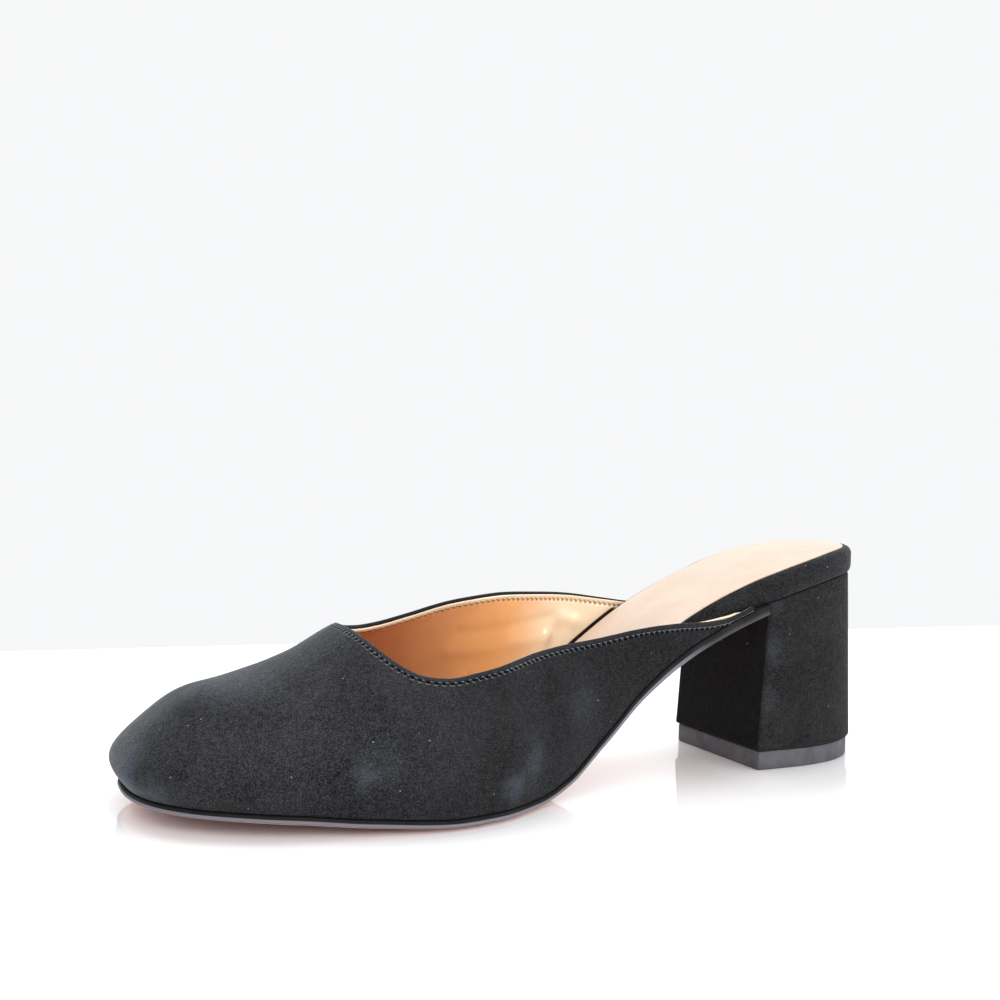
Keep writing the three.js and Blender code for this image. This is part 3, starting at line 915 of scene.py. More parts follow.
def sheen_spot_group():
    """A soft uneven spot, for places where a sheen is painted on the suede."""
    if "Rubbed Place" in bpy.data.node_groups:
        return bpy.data.node_groups["Rubbed Place"]
    tree, given, asked = socket_group("Rubbed Place", {"Centre": (0.0, 0.0, 0.0), "Size": 0.01}, ["Mask"])
    where = object_place(tree)
    cloud = noise(tree, where, SHEEN_SPOT_SCALE, 3.0, 0.65)
    away = add(tree, "ShaderNodeVectorMath", {0: where, 1: given["Centre"]}, operation="DISTANCE")
    share = maths(tree, "DIVIDE", away.outputs["Value"], given["Size"])
    uneven = scaled(tree, cloud, 0.9, maths(tree, "SUBTRACT", share, 0.45))
    feed(tree, ranged(tree, uneven, 1.0, 0.1), asked["Mask"])
    return tree


def leather_group():
    """Smooth synthetic leather: a faint pebbled grain and slow changes of tone."""
    if "Smooth Grain" in bpy.data.node_groups:
        return bpy.data.node_groups["Smooth Grain"]
    inputs = {
        "Base": (0.8, 0.6, 0.4, 1.0),
        "Shade": (0.7, 0.5, 0.3, 1.0),
        "Grain Scale": 1100.0,
        "Cloud Scale": 60.0,
        "Smooth": 0.3,
        "Rough": 0.45,
    }
    tree, given, asked = socket_group("Smooth Grain", inputs, ("Color", "Roughness", "Height"))
    where = object_place(tree)
    pebble_inputs = {"Vector": where, "Scale": given["Grain Scale"]}
    pebble = add(tree, "ShaderNodeTexVoronoi", pebble_inputs, feature="SMOOTH_F1").outputs[0]
    cloud = noise(tree, where, given["Cloud Scale"], 4.0, 0.6)
    tone = ranged(tree, cloud, 0.3, 0.7)
    spare = maths(tree, "SUBTRACT", given["Rough"], given["Smooth"])
    feed(tree, mixed(tree, tone, given["Base"], given["Shade"]), asked["Color"])
    feed(tree, scaled(tree, spare, tone, given["Smooth"]), asked["Roughness"])
    feed(tree, scaled(tree, cloud, 0.6, scaled(tree, pebble, 0.4)), asked["Height"])
    return tree


def seam_group():
    """The marks of a stitched seam near an edge, all in millimetres: the groove that the thread pulls in, the
    dent at each hole, and the rim between the seam and the edge."""
    if "Stitched Seam" in bpy.data.node_groups:
        return bpy.data.node_groups["Stitched Seam"]
    names = ("Distance", "Run", "Inset", "Pitch", "Groove Reach", "Hole Reach", "Hole Core", "Rim Inset")
    tree, given, asked = socket_group("Stitched Seam", dict.fromkeys(names, 1.0), ("Groove", "Hole", "Rim"))
    away = maths(tree, "SUBTRACT", given["Distance"], given["Inset"])
    off_seam = maths(tree, "ABSOLUTE", away)
    phase = maths(tree, "FRACT", maths(tree, "DIVIDE", given["Run"], given["Pitch"]))
    off_hole = maths(tree, "ABSOLUTE", maths(tree, "SUBTRACT", phase, 0.5))
    squares = [maths(tree, "MULTIPLY", off_hole, given["Pitch"]), off_seam]
    squares = [maths(tree, "POWER", value, 2.0) for value in squares]
    from_hole = maths(tree, "SQRT", maths(tree, "ADD", *squares))
    feed(tree, ranged(tree, off_seam, given["Groove Reach"], 0.0), asked["Groove"])
    feed(tree, ranged(tree, from_hole, given["Hole Reach"], given["Hole Core"]), asked["Hole"])
    feed(tree, ranged(tree, scaled(tree, away, -1.0), 0.1, given["Rim Inset"]), asked["Rim"])
    return tree


def place_group(tree, group, **values):
    """A group in a tree, with its inputs as values or as sockets to link from."""
    made = add(tree, "ShaderNodeGroup", node_tree=group)
    for key, value in values.items():
        feed(tree, value, made.inputs[key.replace("_", " ").title()])
    return made


def painted_sheen_places(tree, places):
    """One mask of painted sheen from places in millimetres, each with its size and strength."""
    total = 0.0
    for x, y, z, size, strength in places:
        centre = (x * MM, y * MM, z * MM)
        spot = place_group(tree, sheen_spot_group(), centre=centre, size=size * MM).outputs["Mask"]
        total = scaled(tree, spot, strength, total, clamp=True)
    return total


def place_seam(tree, **reaches):
    """The topline's seam: its groove, its holes and its rim, and the distance from the topline."""
    sizes = bpy.context.scene.mule_sizes
    distance = attribute(tree, "seam_distance")
    inset = in_mm(sizes.seam_inset)
    pitch = in_mm(sizes.stitch_pitch)
    run = attribute(tree, "seam_run")
    made = place_group(tree, seam_group(), distance=distance, run=run, inset=inset, pitch=pitch, **reaches)
    return (*(made.outputs[name] for name in ("Groove", "Hole", "Rim")), distance)


def new_material(name, **constants):
    """A new material and its shader, with the shader's constant values set on its own sockets."""
    made = bpy.data.materials.new(name)
    made.use_nodes = True
    shader = made.node_tree.nodes["Principled BSDF"]
    for key, value in constants.items():
        shader.inputs[key.replace("_", " ")].default_value = value
    return made, made.node_tree, shader


def finish_material(tree, shader, grain, distance, base=None, height=None):
    """Links a grain's colour, roughness and height to the shader, or a colour and height that are given. The
    height is a bump of that distance in millimetres."""
    feed(tree, base or grain.outputs["Color"], shader.inputs["Base Color"])
    feed(tree, grain.outputs["Roughness"], shader.inputs["Roughness"])
    height = height or grain.outputs["Height"]
    bump = add(tree, "ShaderNodeBump", {"Height": height, "Distance": distance * MM, "Strength": 1.0})
    feed(tree, bump.outputs[0], shader.inputs["Normal"])


def new_suede(name, dark, cloud_scale, rubbed, sheen, sheen_spread, tint):
    """A new material with the nap and its painted sheen spots placed in it. The light tone of the nap is
    still open.
    """
    made, tree, shader = new_material(
        name,
        Sheen_Weight=sheen,
        Sheen_Roughness=sheen_spread,
        Sheen_Tint=colour(tint),
        Specular_IOR_Level=0.1,
    )
    nap = place_group(
        tree,
        nap_group(),
        dark=colour(dark),
        nap_scale=NAP_SCALE,
        cloud_scale=cloud_scale,
        rubbed=colour(bpy.context.scene.mule_colours.nap_painted_sheen),
        rub=painted_sheen_places(tree, rubbed),
    )
    return made, tree, shader, nap


def suede_material():
    """The vamp's suede with its folded edge, a painted sheen on the fold's round, and the stitches' dents.
    The suede is darker on the wings.
    """
    tones = bpy.context.scene.mule_colours
    made, tree, shader, nap = new_suede(
        "suede_vamp", tones.nap_dark, 38.0, VAMP_PAINTED_SHEEN, 0.34, 0.28, (0.86, 0.92, 1.0)
    )
    # Darker towards the wings.
    wing_share = ranged(tree, object_axes(tree)[0], *WING_NAP)
    feed(tree, mixed(tree, wing_share, colour(tones.nap_light), colour(tones.nap_wing_tone)), nap.inputs["Light"])
    groove, hole, rim, _ = place_seam(tree, groove_reach=0.7, hole_reach=0.7, hole_core=0.35, rim_inset=1.0)
    dark = maths(tree, "MAXIMUM", scaled(tree, groove, 0.6), scaled(tree, hole, 0.97))
    # Painted sheen: the round of the folded edge goes a little lighter and bluer.
    lit = mixed(tree, scaled(tree, rim, 0.3), nap.outputs["Color"], colour(tones.nap_fold_sheen))
    form = scaled(tree, groove, -0.35, scaled(tree, rim, 0.35))
    form = scaled(tree, hole, -0.5, form)
    height = scaled(tree, nap.outputs["Height"], SEAM_NAP, form)
    finish_material(tree, shader, nap, 1.0, mixed(tree, dark, lit, SEAM_SHADE), height)
    return made


def wrap_material(name, dark, light, cloud_scale, sheen=0.12, rubbed=()):
    """Suede stretched over the insole's edge or the heel, with painted sheen spots where they are given."""
    made, tree, shader, nap = new_suede(name, dark, cloud_scale, rubbed, sheen, 0.36, (0.88, 0.93, 1.0))
    feed(tree, colour(light), nap.inputs["Light"])
    finish_material(tree, shader, nap, 0.08)
    return made


def new_leather(name, smooth, rough, grain_scale=1100.0, cloud_scale=60.0, **constants):
    """A new material with a smooth grain placed in it. The two tones of the grain are still open."""
    made, tree, shader = new_material(name, **constants)
    scales = {"grain_scale": grain_scale, "cloud_scale": cloud_scale}
    grain = place_group(tree, leather_group(), smooth=smooth, rough=rough, **scales)
    return made, tree, shader, grain


def plain_leather(name, base, shade, bump, *texture, **constants):
    """A smooth finish in two tones, for the sock, the threads, the rubber and the floor."""
    made, tree, shader, grain = new_leather(name, *texture, **constants)
    feed(tree, colour(base), grain.inputs["Base"])
    feed(tree, colour(shade), grain.inputs["Shade"])
    finish_material(tree, shader, grain, bump)
    return made


def lining_material():
    """Glossy tan lining, paler towards its cut edge, with a painted shade towards the toe, a painted
    highlight towards the heel, a dent at each stitch that holds a painted shade, and a painted shadow as a
    dark line where it meets the insole."""
    tones = bpy.context.scene.mule_colours
    made, tree, shader, grain = new_leather(
        "lining_gloss", 0.24, 0.4, 1300.0, 75.0, Coat_Weight=0.9, Coat_Roughness=0.12, Specular_IOR_Level=0.5
    )
    along = object_axes(tree)[0]
    # Painted shade towards the toe and painted highlight towards the heel.
    middle = ranged(tree, along, *LINING_SHADE_FADE)
    tone = mixed(tree, middle, colour(tones.lining_front_shade), colour(tones.lining_middle))
    tone = mixed(tree, ranged(tree, along, *LINING_HIGHLIGHT_RISE), tone, colour(tones.lining_back_highlight))
    feed(tree, tone, grain.inputs["Base"])
    feed(tree, mixed(tree, 0.12, tone, LINING_SHADE), grain.inputs["Shade"])
    groove, hole, rim, distance = place_seam(
        tree, groove_reach=0.9, hole_reach=0.6, hole_core=0.25, rim_inset=0.7
    )
    base = mixed(tree, rim, grain.outputs["Color"], colour(tones.lining_edge))
    # Painted shade in the dent at each stitch hole.
    base = mixed(tree, scaled(tree, hole, 0.75), base, LINING_HOLE_SHADE)
    # Painted shadow: a dark line on the lining just above the insole.
    low = ranged(tree, attribute(tree, "above_insole"), 0.55, 0.2)
    gap = maths(tree, "MULTIPLY", low, ranged(tree, distance, 1.5, 3.0))
    form = scaled(tree, groove, -0.12, scaled(tree, hole, -0.25))
    height = scaled(tree, grain.outputs["Height"], SEAM_GRAIN, form)
    finish_material(tree, shader, grain, 1.0, mixed(tree, gap, base, LINING_SHADOW_LINE), height)
    return made


def sole_edge_material():
    """Black painted sole edge, greyer towards its buffed lower corner, with a grey line along that corner;
    both are partly buffing and partly painted sheen and highlight, and the line fades towards the heel. Its
    seam_distance holds the height over that corner."""
    tones = bpy.context.scene.mule_colours
    made, tree, shader, grain = new_leather("sole_edge", 0.6, 0.75, 1700.0, 120.0, Specular_IOR_Level=0.1)
    feed(tree, colour(tones.sole_edge), grain.inputs["Base"])
    feed(tree, colour(tones.sole_edge, 0.6), grain.inputs["Shade"])
    up = attribute(tree, "seam_distance")
    wear_and_sheen = scaled(tree, ranged(tree, up, 1.3, 0.1), 0.5)
    greyed = mixed(tree, wear_and_sheen, grain.outputs["Color"], colour(tones.sole_wear_and_sheen))
    # Painted highlight along the buffed lower corner, fading towards the heel; partly the buffing itself.
    line = ranged(tree, maths(tree, "ABSOLUTE", maths(tree, "SUBTRACT", up, 0.4)), 0.8, 0.35)
    shown = maths(tree, "MULTIPLY", line, ranged(tree, object_axes(tree)[0], *SOLE_HIGHLIGHT_FADE))
    base = mixed(tree, scaled(tree, shown, 0.85), greyed, colour(tones.sole_line))
    base = mixed(tree, ranged(tree, up, -0.35, -0.6), base, colour(tones.tread))
    finish_material(tree, shader, grain, 0.05, base)
    return made


def tread_material():
    """The tan tread, browner in front of a slanting line across the toe."""
    tones = bpy.context.scene.mule_colours
    made, tree, shader, grain = new_leather("tread", 0.42, 0.6, 900.0, 90.0, Specular_IOR_Level=0.4)
    axes = object_axes(tree)
    toe = ranged(tree, scaled(tree, axes[1], 0.5, axes[0]), *TREAD_TOE)
    tone = mixed(tree, toe, colour(tones.tread), colour(tones.tread_toe))
    feed(tree, tone, grain.inputs["Base"])
    feed(tree, mixed(tree, 0.25, tone, TREAD_SHADE), grain.inputs["Shade"])
    finish_material(tree, shader, grain, 0.08)
    return made


def length_property(name, description, value):
    return bpy.props.FloatProperty(
        name=name, description=description, default=value * MM, min=0.0, unit="LENGTH", subtype="DISTANCE"
    )


def colour_property(name, description, value):
    return bpy.props.FloatVectorProperty(
        name=name, description=description, default=value, size=3, min=0.0, max=1.0, subtype="COLOR"
    )


class MuleSizes(bpy.types.PropertyGroup):
    """Sizes of the shoe's fine parts"""

    suede_thickness: length_property("Suede", "Thickness of the suede with its backing", 1.1)
    lining_gap: length_property("Lining edge", "How far the lining's edge stays below the topline", 0.55)
    seam_inset: length_property("Seam", "Distance of the topline's seam from the edge", 1.6)
    stitch_pitch: length_property("Stitch pitch", "Distance from one stitch to the next", 1.9)
    stitch_length: length_property("Stitch length", "Length of the thread that shows in one stitch", 1.05)
    thread_thickness: length_property("Thread", "Thickness of the thread", 0.34)
    lip_height: length_property("Sole lip", "Height of the buffed lip on the sole's edge", 1.2)


class MuleColours(bpy.types.PropertyGroup):
    """Colours of the shoe's materials"""

    nap_dark: colour_property("Nap, dark", "Suede where the nap lies away", (0.0036, 0.0037, 0.004))
    nap_light: colour_property("Nap, light", "Suede where the nap stands up", (0.0515, 0.052, 0.055))
    nap_wing_tone: colour_property("Nap, wings", "The same on the wings", (0.032, 0.0322, 0.034))
    # Painted sheen: the lighter bluish tone of the sheen spots.
    nap_painted_sheen: colour_property("Nap, rubbed", "Suede under a painted bluish sheen", (0.085, 0.1, 0.124))
    # Painted sheen on the round of the folded edge.
    nap_fold_sheen: colour_property("Folded edge, painted sheen", "Suede on the round of the folded edge", (0.03, 0.032, 0.037))
    heel_dark: colour_property("Heel, dark", "Heel cover where the nap lies away", (0.0034, 0.0034, 0.0036))
    heel_light: colour_property("Heel, light", "Heel cover where the nap stands up", (0.035, 0.035, 0.0365))
    # The lining's front and back tones are painted shade and painted highlight.
    lining_front_shade: colour_property("Lining, painted shade", "Lining towards the toe", (0.48, 0.125, 0.034))
    lining_middle: colour_property("Lining, middle", "Lining under the ankle", (0.95, 0.47, 0.16))
    lining_back_highlight: colour_property("Lining, painted highlight", "Lining towards the heel", (1.0, 0.8, 0.56))
    lining_edge: colour_property("Lining, edge", "Cut edge of the lining", (0.8, 0.62, 0.42))
    # Painted shade: the breast's nap is darker than the sides'.
    breast_painted_shade: colour_property("Breast, painted shade", "Nap of the heel's front", (0.008, 0.008, 0.0085))
    sock: colour_property("Sock", "Sock lining", (0.54, 0.415, 0.325))
    thread: colour_property("Thread", "Thread on the outside", (0.045, 0.05, 0.06))
    sole_edge: colour_property("Sole edge", "Painted edge of the outsole", (0.014, 0.014, 0.0145))
    # Near the sole's lower corner: grey that is partly buffing and partly painted sheen, and a line that is
    # partly buffing and partly painted highlight.
    sole_wear_and_sheen: colour_property("Sole edge, wear and sheen", "Sole's edge near its lower corner", (0.13, 0.12, 0.14))
    sole_line: colour_property("Sole line", "Buffed corner of the sole's edge", (0.22, 0.205, 0.235))
    tread: colour_property("Tread", "Underside of the outsole", (0.8, 0.52, 0.46))
    tread_toe: colour_property("Tread, toe", "Underside of the outsole at the toe", (0.62, 0.32, 0.26))
    rubber: colour_property("Rubber", "Top piece", (0.078, 0.075, 0.088))
    floor: colour_property("Floor", "Floor under the shoe", (0.9, 0.9, 0.905))


class UpperShell(bpy.types.Operator):
    """Suede vamp and wings, with a rounded folded topline"""

    bl_idname = "mule.upper_shell"
    bl_label = "Suede Upper"

    def execute(self, context):
        sizes = context.scene.mule_sizes
        thickness = in_mm(sizes.suede_thickness)

        def drop(line):
            return np.full(len(line.run), thickness / 2)

        grids = []
        for side in (-1, 1):
            grids += wall_sheet(0.0, thickness, drop, OUTSIDE_FOLDS, side)
        make_piece("upper_suede", grids, [suede_material()], "upper", sharp=60)
        return {"FINISHED"}


class Lining(bpy.types.Operator):
    """Glossy lining inside the upper, with its cut edge below the fold"""

    bl_idname = "mule.lining"
    bl_label = "Lining"

    def execute(self, context):
        sizes = context.scene.mule_sizes
        thickness = in_mm(sizes.suede_thickness)
        gap = in_mm(sizes.lining_gap)
        half = (UPPER_WALL - thickness) / 2

        def drop(line):
            """The edge shows above the fold along the end of the outer wing."""
            shown = np.interp(station_at(line.points), *LINING_SHOWN)
            shown = shown * (line.points[:, 1] < SHIFT_Y)
            return gap + half - shown * (gap + LINING_STAND)

        grids = []
        for side in (-1, 1):
            grids += wall_sheet(thickness + SHEET_GAP, UPPER_WALL, drop, LINING_FOLDS, side)
        make_piece("upper_lining", grids, [lining_material()], sharp=70)
        return {"FINISHED"}


def stitch_row(name, inset, depth, finish, lean):
    """Small stitches side by side along the topline, each a spindle of thread half sunk in the surface."""
    sizes = bpy.context.scene.mule_sizes
    line = topline_run()
    pitch = in_mm(sizes.stitch_pitch)
    half_length = in_mm(sizes.stitch_length) / 2
    radius = in_mm(sizes.thread_thickness) / 2
    count = int(line.run[-1] / pitch)
    run = pitch * np.arange(2, count - 2)
    index = np.round(run / TOPLINE_STEP).astype(int).clip(0, len(line.run) - 1)
    turn = np.linspace(0, 2 * np.pi, THREAD_TURNS)
    rise = np.linspace(-1, 1, THREAD_RINGS)
    width = np.sqrt(1 - rise**2) ** THREAD_FULLNESS
    grids = []
    for i in index:
        middle = line.points[i] - line.over[i] * inset - line.normals[i] * depth
        forward = unit(line.forward[i] + line.over[i] * lean)
        side = np.cross(forward, line.normals[i])
        ring = (
            side[None, None] * (np.cos(turn)[None, :] * width[:, None])[..., None]
            + line.normals[i][None, None] * (np.sin(turn)[None, :] * width[:, None])[..., None]
        )
        grid = middle + forward * (rise * half_length)[:, None, None] + ring * radius
        grids.append((grid, 0, None))
    return make_piece(name, grids, [finish], sharp=80)


class Stitches(bpy.types.Operator):
    """Rows of stitches outside and inside the topline"""

    bl_idname = "mule.stitches"
    bl_label = "Topline Stitches"

    def execute(self, context):
        tones = context.scene.mule_colours
        inset = in_mm(context.scene.mule_sizes.seam_inset)
        light = colour(tones.thread, 2.4)
        outside = plain_leather("thread_dark", tones.thread, light, 0.05, 0.35, 0.5, Specular_IOR_Level=0.6)
        stitch_row("topline_stitches", inset, -STITCH_STAND, outside, STITCH_LEAN)
        inside = plain_leather("thread_tan", *THREAD_INSIDE, 0.05, 0.4, 0.55)
        stitch_row("lining_stitches", inset, UPPER_WALL + STITCH_STAND, inside, -STITCH_LEAN)
        return {"FINISHED"}


class Insole(bpy.types.Operator):
    """Insole board wrapped in suede, with a round edge and a notch over the heel"""

    bl_idname = "mule.insole"
    bl_label = "Wrapped Insole"

    def execute(self, context):
        tones = context.scene.mule_colours
        turn = np.radians([0, 18, 36, 54, 72, 90])

        def level(inset, height_at):
            return (lambda station: insole_grow(station) - inset(station), height_at)

        def lower(angle):
            def inset(station):
                return EDGE_UNDERCUT * (1 - math.sin(angle)) + 0 * station

            return level(inset, lambda station: feather_height(station) + EDGE_ROUND * (1 - math.cos(angle)))

        def upper(angle):
            def inset(station):
                return insole_round(station) * (1 - math.cos(angle))

            def height(station):
                return insole_top(station) - insole_round(station) * (1 - math.sin(angle))

            return level(inset, height)

        levels = [lower(angle) for angle in turn]
        levels += [upper(angle) for angle in turn]
        levels.append(level(insole_round, lambda station: insole_top(station) - SOCK_RECESS))
        finish = wrap_material("suede_wrap", tones.nap_dark, tones.heel_light, 60.0, rubbed=RAND_PAINTED_SHEEN)
        make_piece("insole_wrapped", plate_grids(levels, 0, 1), [finish], "insole", sharp=55)
        return {"FINISHED"}


class Sock(bpy.types.Operator):
    """Pale sock lining set into the insole, with a soft rolled edge"""

    bl_idname = "mule.sock"
    bl_label = "Sock"

    def execute(self, context):
        tones = context.scene.mule_colours

        def grow(inset):
            return lambda station: insole_grow(station) - insole_round(station) - CLEARANCE - inset

        def height(rise):
            return lambda station: insole_top(station) - SOCK_RECESS + CLEARANCE + rise

        top = SOCK_THICKNESS
        levels = [
            (grow(0.0), height(0.0)),
            (grow(0.0), height(top - 0.45)),
            (grow(0.12), height(top - 0.18)),
            (grow(0.35), height(top - 0.04)),
            (grow(0.7), height(top)),
        ]
        shine = {"Specular_IOR_Level": 0.4, "Coat_Weight": 0.08}
        finish = plain_leather("sock_satin", tones.sock, colour(tones.sock, 0.9), 0.035, 0.42, 0.55, **shine)
        grids = plate_grids(levels, 0, 1, across=24, crown=0.5)
        make_piece("sock_lining", grids, [finish], "sock", sharp=60)
        return {"FINISHED"}


class Outsole(bpy.types.Operator):
    """Thin outsole: tan tread, black edge and a buffed lip along its lower corner"""

    bl_idname = "mule.outsole"
    bl_label = "Outsole"

    def execute(self, context):
        lip = in_mm(context.scene.mule_sizes.lip_height)

        def bevel(grow, share):
            def height(station):
                skive = profile.skive(station) * BEVEL_RISE
                return sole_line(station) + skive + (lip - skive) * share

            return (lambda station: 0 * station + grow, height)

        def over_lip(grow, rise):
            return (lambda station: 0 * station + grow, lambda station: sole_line(station) + lip + rise)

        def under_top(grow, drop):
            return (lambda station: 0 * station + grow, lambda station: sole_top(station) - drop)

        levels = [
            bevel(-BEVEL_INSET, 0.0),
            bevel(-2.4, 0.22),
            bevel(-1.0, 0.58),
            bevel(-0.3, 0.86),
            bevel(0.04, 1.0),
            over_lip(0.1, 0.14),
            over_lip(0.08, 0.3),
            over_lip(-0.08, 0.46),
            under_top(-0.02, 0.6),
            under_top(-0.14, 0.14),
            under_top(-0.5, 0.0),
        ]
        # How high each level counts over the lip's corner, for the paint of the edge
        rises = np.array([-3.0, -1.6, -0.7, -0.2, 0.0, 0.14, 0.3, 0.5, 1.5, 2.0, 2.2])
        start = (breast_at(1 - OUTSOLE_THICKNESS / SEAT_RISE) + CLEARANCE) / PLAN_LENGTH
        grids = []
        for grid, number, _ in plate_grids(levels, start, 1, underside=1):
            if len(levels) not in grid.shape[:2]:
                rise = rises[0] if number == 1 else rises[-1]
            else:
                rise = rises[:, None] if grid.shape[0] == len(levels) else rises[None, :]
            values = np.broadcast_to(rise, grid.shape[:2])
            grids.append((grid, number, np.stack([values, values * 0, values * 0], axis=-1)))
        finishes = [sole_edge_material(), tread_material()]
        make_piece("outsole_edge_and_tread", grids, finishes, "outsole", sharp=35)
        return {"FINISHED"}


class Heel(bpy.types.Operator):
    """Block heel covered in suede, with soft corners and a painted shade on its breast"""

    bl_idname = "mule.heel"
    bl_label = "Covered Heel"

    def execute(self, context):
        tones = context.scene.mule_colours
        foot = TOP_PIECE_THICKNESS + CLEARANCE
        loops = []
        roll = np.radians([0, 22, 45, 67, 90])
        for turn in roll:
            out, up = HEEL_FOOT_ROUND * (1 - math.sin(turn)), HEEL_FOOT_ROUND * (1 - math.cos(turn))
            loops.append(self.loop(out, 0.0, up, foot))
        for share in np.linspace(*HEEL_SHARES):
            loops.append(self.loop(0.0, share, 0.0, foot))
        for turn in roll:
            out, down = HEEL_TOP_ROUND * (1 - math.cos(turn)), HEEL_TOP_ROUND * (1 - math.sin(turn))
            loops.append(self.loop(out, 1.0, -down, foot))
        side = wrap_material("suede_heel", tones.heel_dark, tones.heel_light, 45.0, 0.04, HEEL_PAINTED_SHEEN)
        # Painted shade: the breast gets a darker copy of the cover's suede.
        breast = wrap_material("suede_breast_shaded", tones.heel_dark, tones.breast_painted_shade, 45.0, 0.03)
        piece = make_piece("heel_cover", loop_grids(loops), [side, breast], "heel", sharp=60)
        for face in piece.data.polygons:
            if face.normal.x < -BREAST_FACING:
                face.material_index = 1
        return {"FINISHED"}

    @staticmethod
    def loop(inset, share, rise, foot):
        """One loop of the cover at a height share over its foot, moved up by a rise."""
        plan = heel_loop(share, inset)
        height = foot + (sole_top(plan[:, 0] / PLAN_LENGTH) - foot) * share + rise
        return place(plan[:, 0], plan[:, 1], height)


class TopPiece(bpy.types.Operator):
    """Rubber top piece under the heel"""

    bl_idname = "mule.top_piece"
    bl_label = "Top Piece"

    def execute(self, context):
        loops = []
        steps = (
            (0.5, 0.0),
            (0.22, 0.08),
            (0.05, 0.28),
            (0.0, 0.6),
            (0.0, TOP_PIECE_THICKNESS - 0.3),
            (0.1, TOP_PIECE_THICKNESS - 0.06),
            (0.3, TOP_PIECE_THICKNESS),
        )
        for inset, height in steps:
            plan = heel_loop(0.0, TOP_PIECE_INSET + inset, corner=0.7)
            loops.append(place(plan[:, 0], plan[:, 1], np.full(len(plan), height)))
        tone = context.scene.mule_colours.rubber
        scales = (2200.0, 160.0)
        finish = plain_leather(
            "top_piece_rubber", tone, colour(tone, 0.7), 0.1, 0.5, 0.66, *scales, Specular_IOR_Level=0.4
        )
        make_piece("top_piece_lift", loop_grids(loops), [finish], "top_piece", sharp=50)
        return {"FINISHED"}


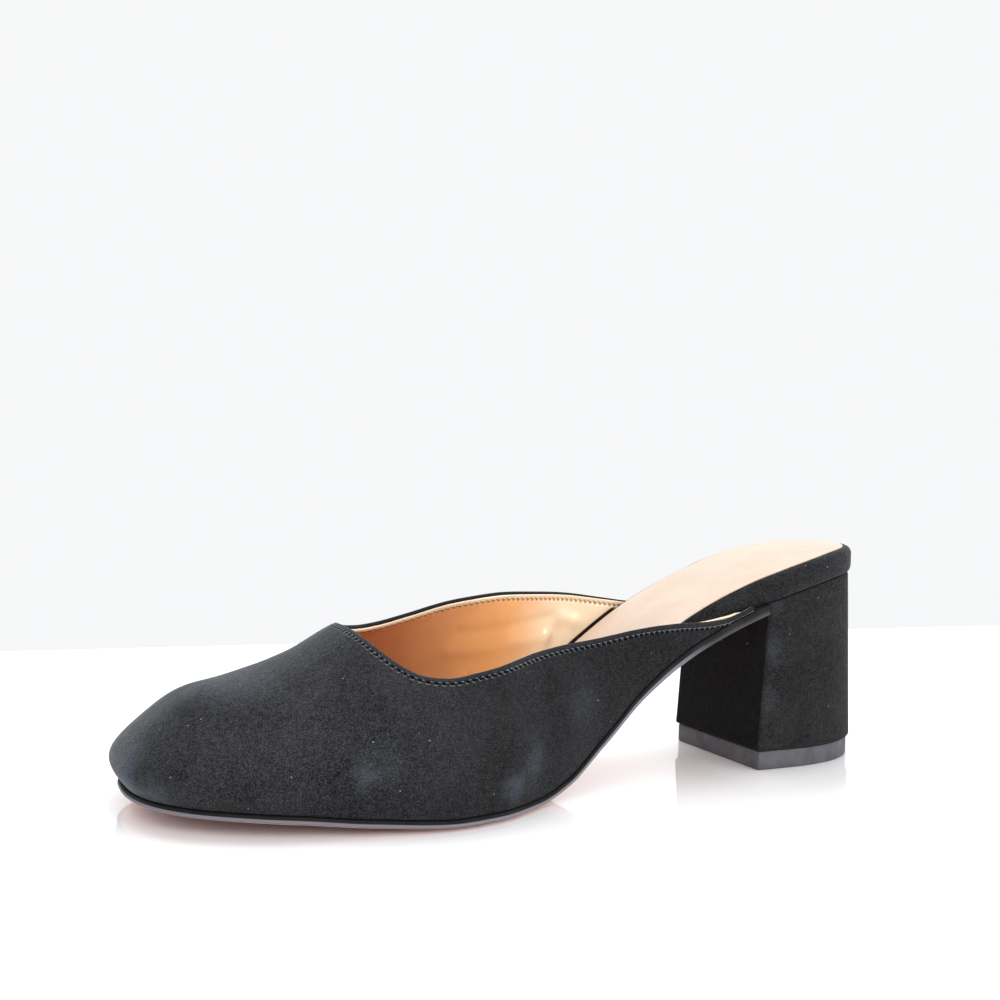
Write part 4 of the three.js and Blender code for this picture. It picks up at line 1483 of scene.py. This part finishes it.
class Stage(bpy.types.Operator):
    """Pale glossy floor, soft lights and the camera"""

    bl_idname = "mule.stage"
    bl_label = "Stage"

    def execute(self, context):
        self.floor(context)
        self.lights(context)
        self.camera(context)
        context.scene.view_settings.view_transform = "Standard"
        return {"FINISHED"}

    @staticmethod
    def floor(context):
        mesh = bpy.data.meshes.new("floor")
        corners = [(x, y, 0.0) for x, y in FLOOR_CORNERS]
        mesh.from_pydata(corners, [], [(0, 1, 2, 3)])
        floor = bpy.data.objects.new("floor", mesh)
        context.scene.collection.objects.link(floor)
        tone = context.scene.mule_colours.floor
        texture = (0.4, 0.45, 400.0, 9.0)
        shine = {"Specular_IOR_Level": 0.2, "Coat_Weight": 1.0, "Coat_Roughness": 0.05, "Coat_IOR": 1.65}
        finish = plain_leather("floor_gloss", tone, colour(tone, 0.985), 0.002, *texture, **shine)
        mesh.materials.append(finish)

    @staticmethod
    def lights(context):
        world = bpy.data.worlds.new("soft_white")
        world.use_nodes = True
        tree = world.node_tree
        back = tree.nodes["Background"]
        back.inputs["Color"].default_value = SKY
        direction = add(tree, "ShaderNodeTexCoord").outputs["Generated"]
        lean = add(tree, "ShaderNodeVectorMath", {0: direction, 1: LIGHT_SIDE}, operation="DOT_PRODUCT")
        glow = ranged(tree, lean.outputs["Value"], *LIGHT_LEAN, *LIGHT_RANGE, soft=False)
        seen = add(tree, "ShaderNodeLightPath").outputs["Is Camera Ray"]
        plain = maths(tree, "MULTIPLY", seen, BACKDROP)
        lit = maths(tree, "MULTIPLY_ADD", maths(tree, "SUBTRACT", 1.0, seen), glow, plain)
        tree.links.new(lit, back.inputs["Strength"])
        context.scene.world = world
        for name, place_at, target, size, power, tint in LAMPS:
            lamp = bpy.data.lights.new(name, "AREA")
            lamp.energy = power
            lamp.size = size
            lamp.color = tint
            made = bpy.data.objects.new(name, lamp)
            made.location = place_at
            made.rotation_euler = (Vector(target) - Vector(place_at)).to_track_quat("-Z", "Y").to_euler()
            context.scene.collection.objects.link(made)

    @staticmethod
    def camera(context):
        yaw, pitch, roll = (math.radians(v) for v in (CAMERA_YAW, CAMERA_PITCH, CAMERA_ROLL))
        ahead = Vector((math.sin(yaw) * math.cos(pitch), math.cos(yaw) * math.cos(pitch), -math.sin(pitch)))
        level = Vector((math.cos(yaw), -math.sin(yaw), 0.0))
        up = level.cross(ahead)
        right = level * math.cos(roll) + up * math.sin(roll)
        top = up * math.cos(roll) - level * math.sin(roll)
        camera = bpy.data.cameras.new("camera")
        camera.lens = CAMERA_LENS
        camera.sensor_width = CAMERA_SENSOR
        camera.clip_start = 0.01
        made = bpy.data.objects.new("camera", camera)
        turned = Matrix((right, top, -ahead)).transposed().to_4x4()
        made.matrix_world = Matrix.Translation(Vector(CAMERA_PLACE) * MM) @ turned
        context.scene.collection.objects.link(made)
        context.scene.camera = made


OPERATORS = (UpperShell, Lining, Stitches, Insole, Sock, Outsole, Heel, TopPiece, Stage)


class MulePanel(bpy.types.Panel):
    """Lists the pieces of the shoe"""

    bl_idname = "VIEW3D_PT_mule"
    bl_label = "Block Heel Mule"
    bl_space_type = "VIEW_3D"
    bl_region_type = "UI"
    bl_category = "Mule"

    def draw(self, context):
        for group in (context.scene.mule_sizes, context.scene.mule_colours):
            column = self.layout.column(align=True)
            for name in group.__annotations__:
                column.prop(group, name)
        for operator in OPERATORS:
            self.layout.operator(operator.bl_idname)


def register():
    for made in (MuleSizes, MuleColours, *OPERATORS, MulePanel):
        bpy.utils.register_class(made)
    bpy.types.Scene.mule_sizes = bpy.props.PointerProperty(type=MuleSizes)
    bpy.types.Scene.mule_colours = bpy.props.PointerProperty(type=MuleColours)


def unregister():
    del bpy.types.Scene.mule_colours
    del bpy.types.Scene.mule_sizes
    for made in reversed((MuleSizes, MuleColours, *OPERATORS, MulePanel)):
        bpy.utils.unregister_class(made)


def main():
    register()
    bpy.ops.mule.upper_shell()
    bpy.ops.mule.lining()
    bpy.ops.mule.stitches()
    bpy.ops.mule.insole()
    bpy.ops.mule.sock()
    bpy.ops.mule.outsole()
    bpy.ops.mule.heel()
    bpy.ops.mule.top_piece()
    bpy.ops.mule.stage()


if __name__ == "__main__":
    main()
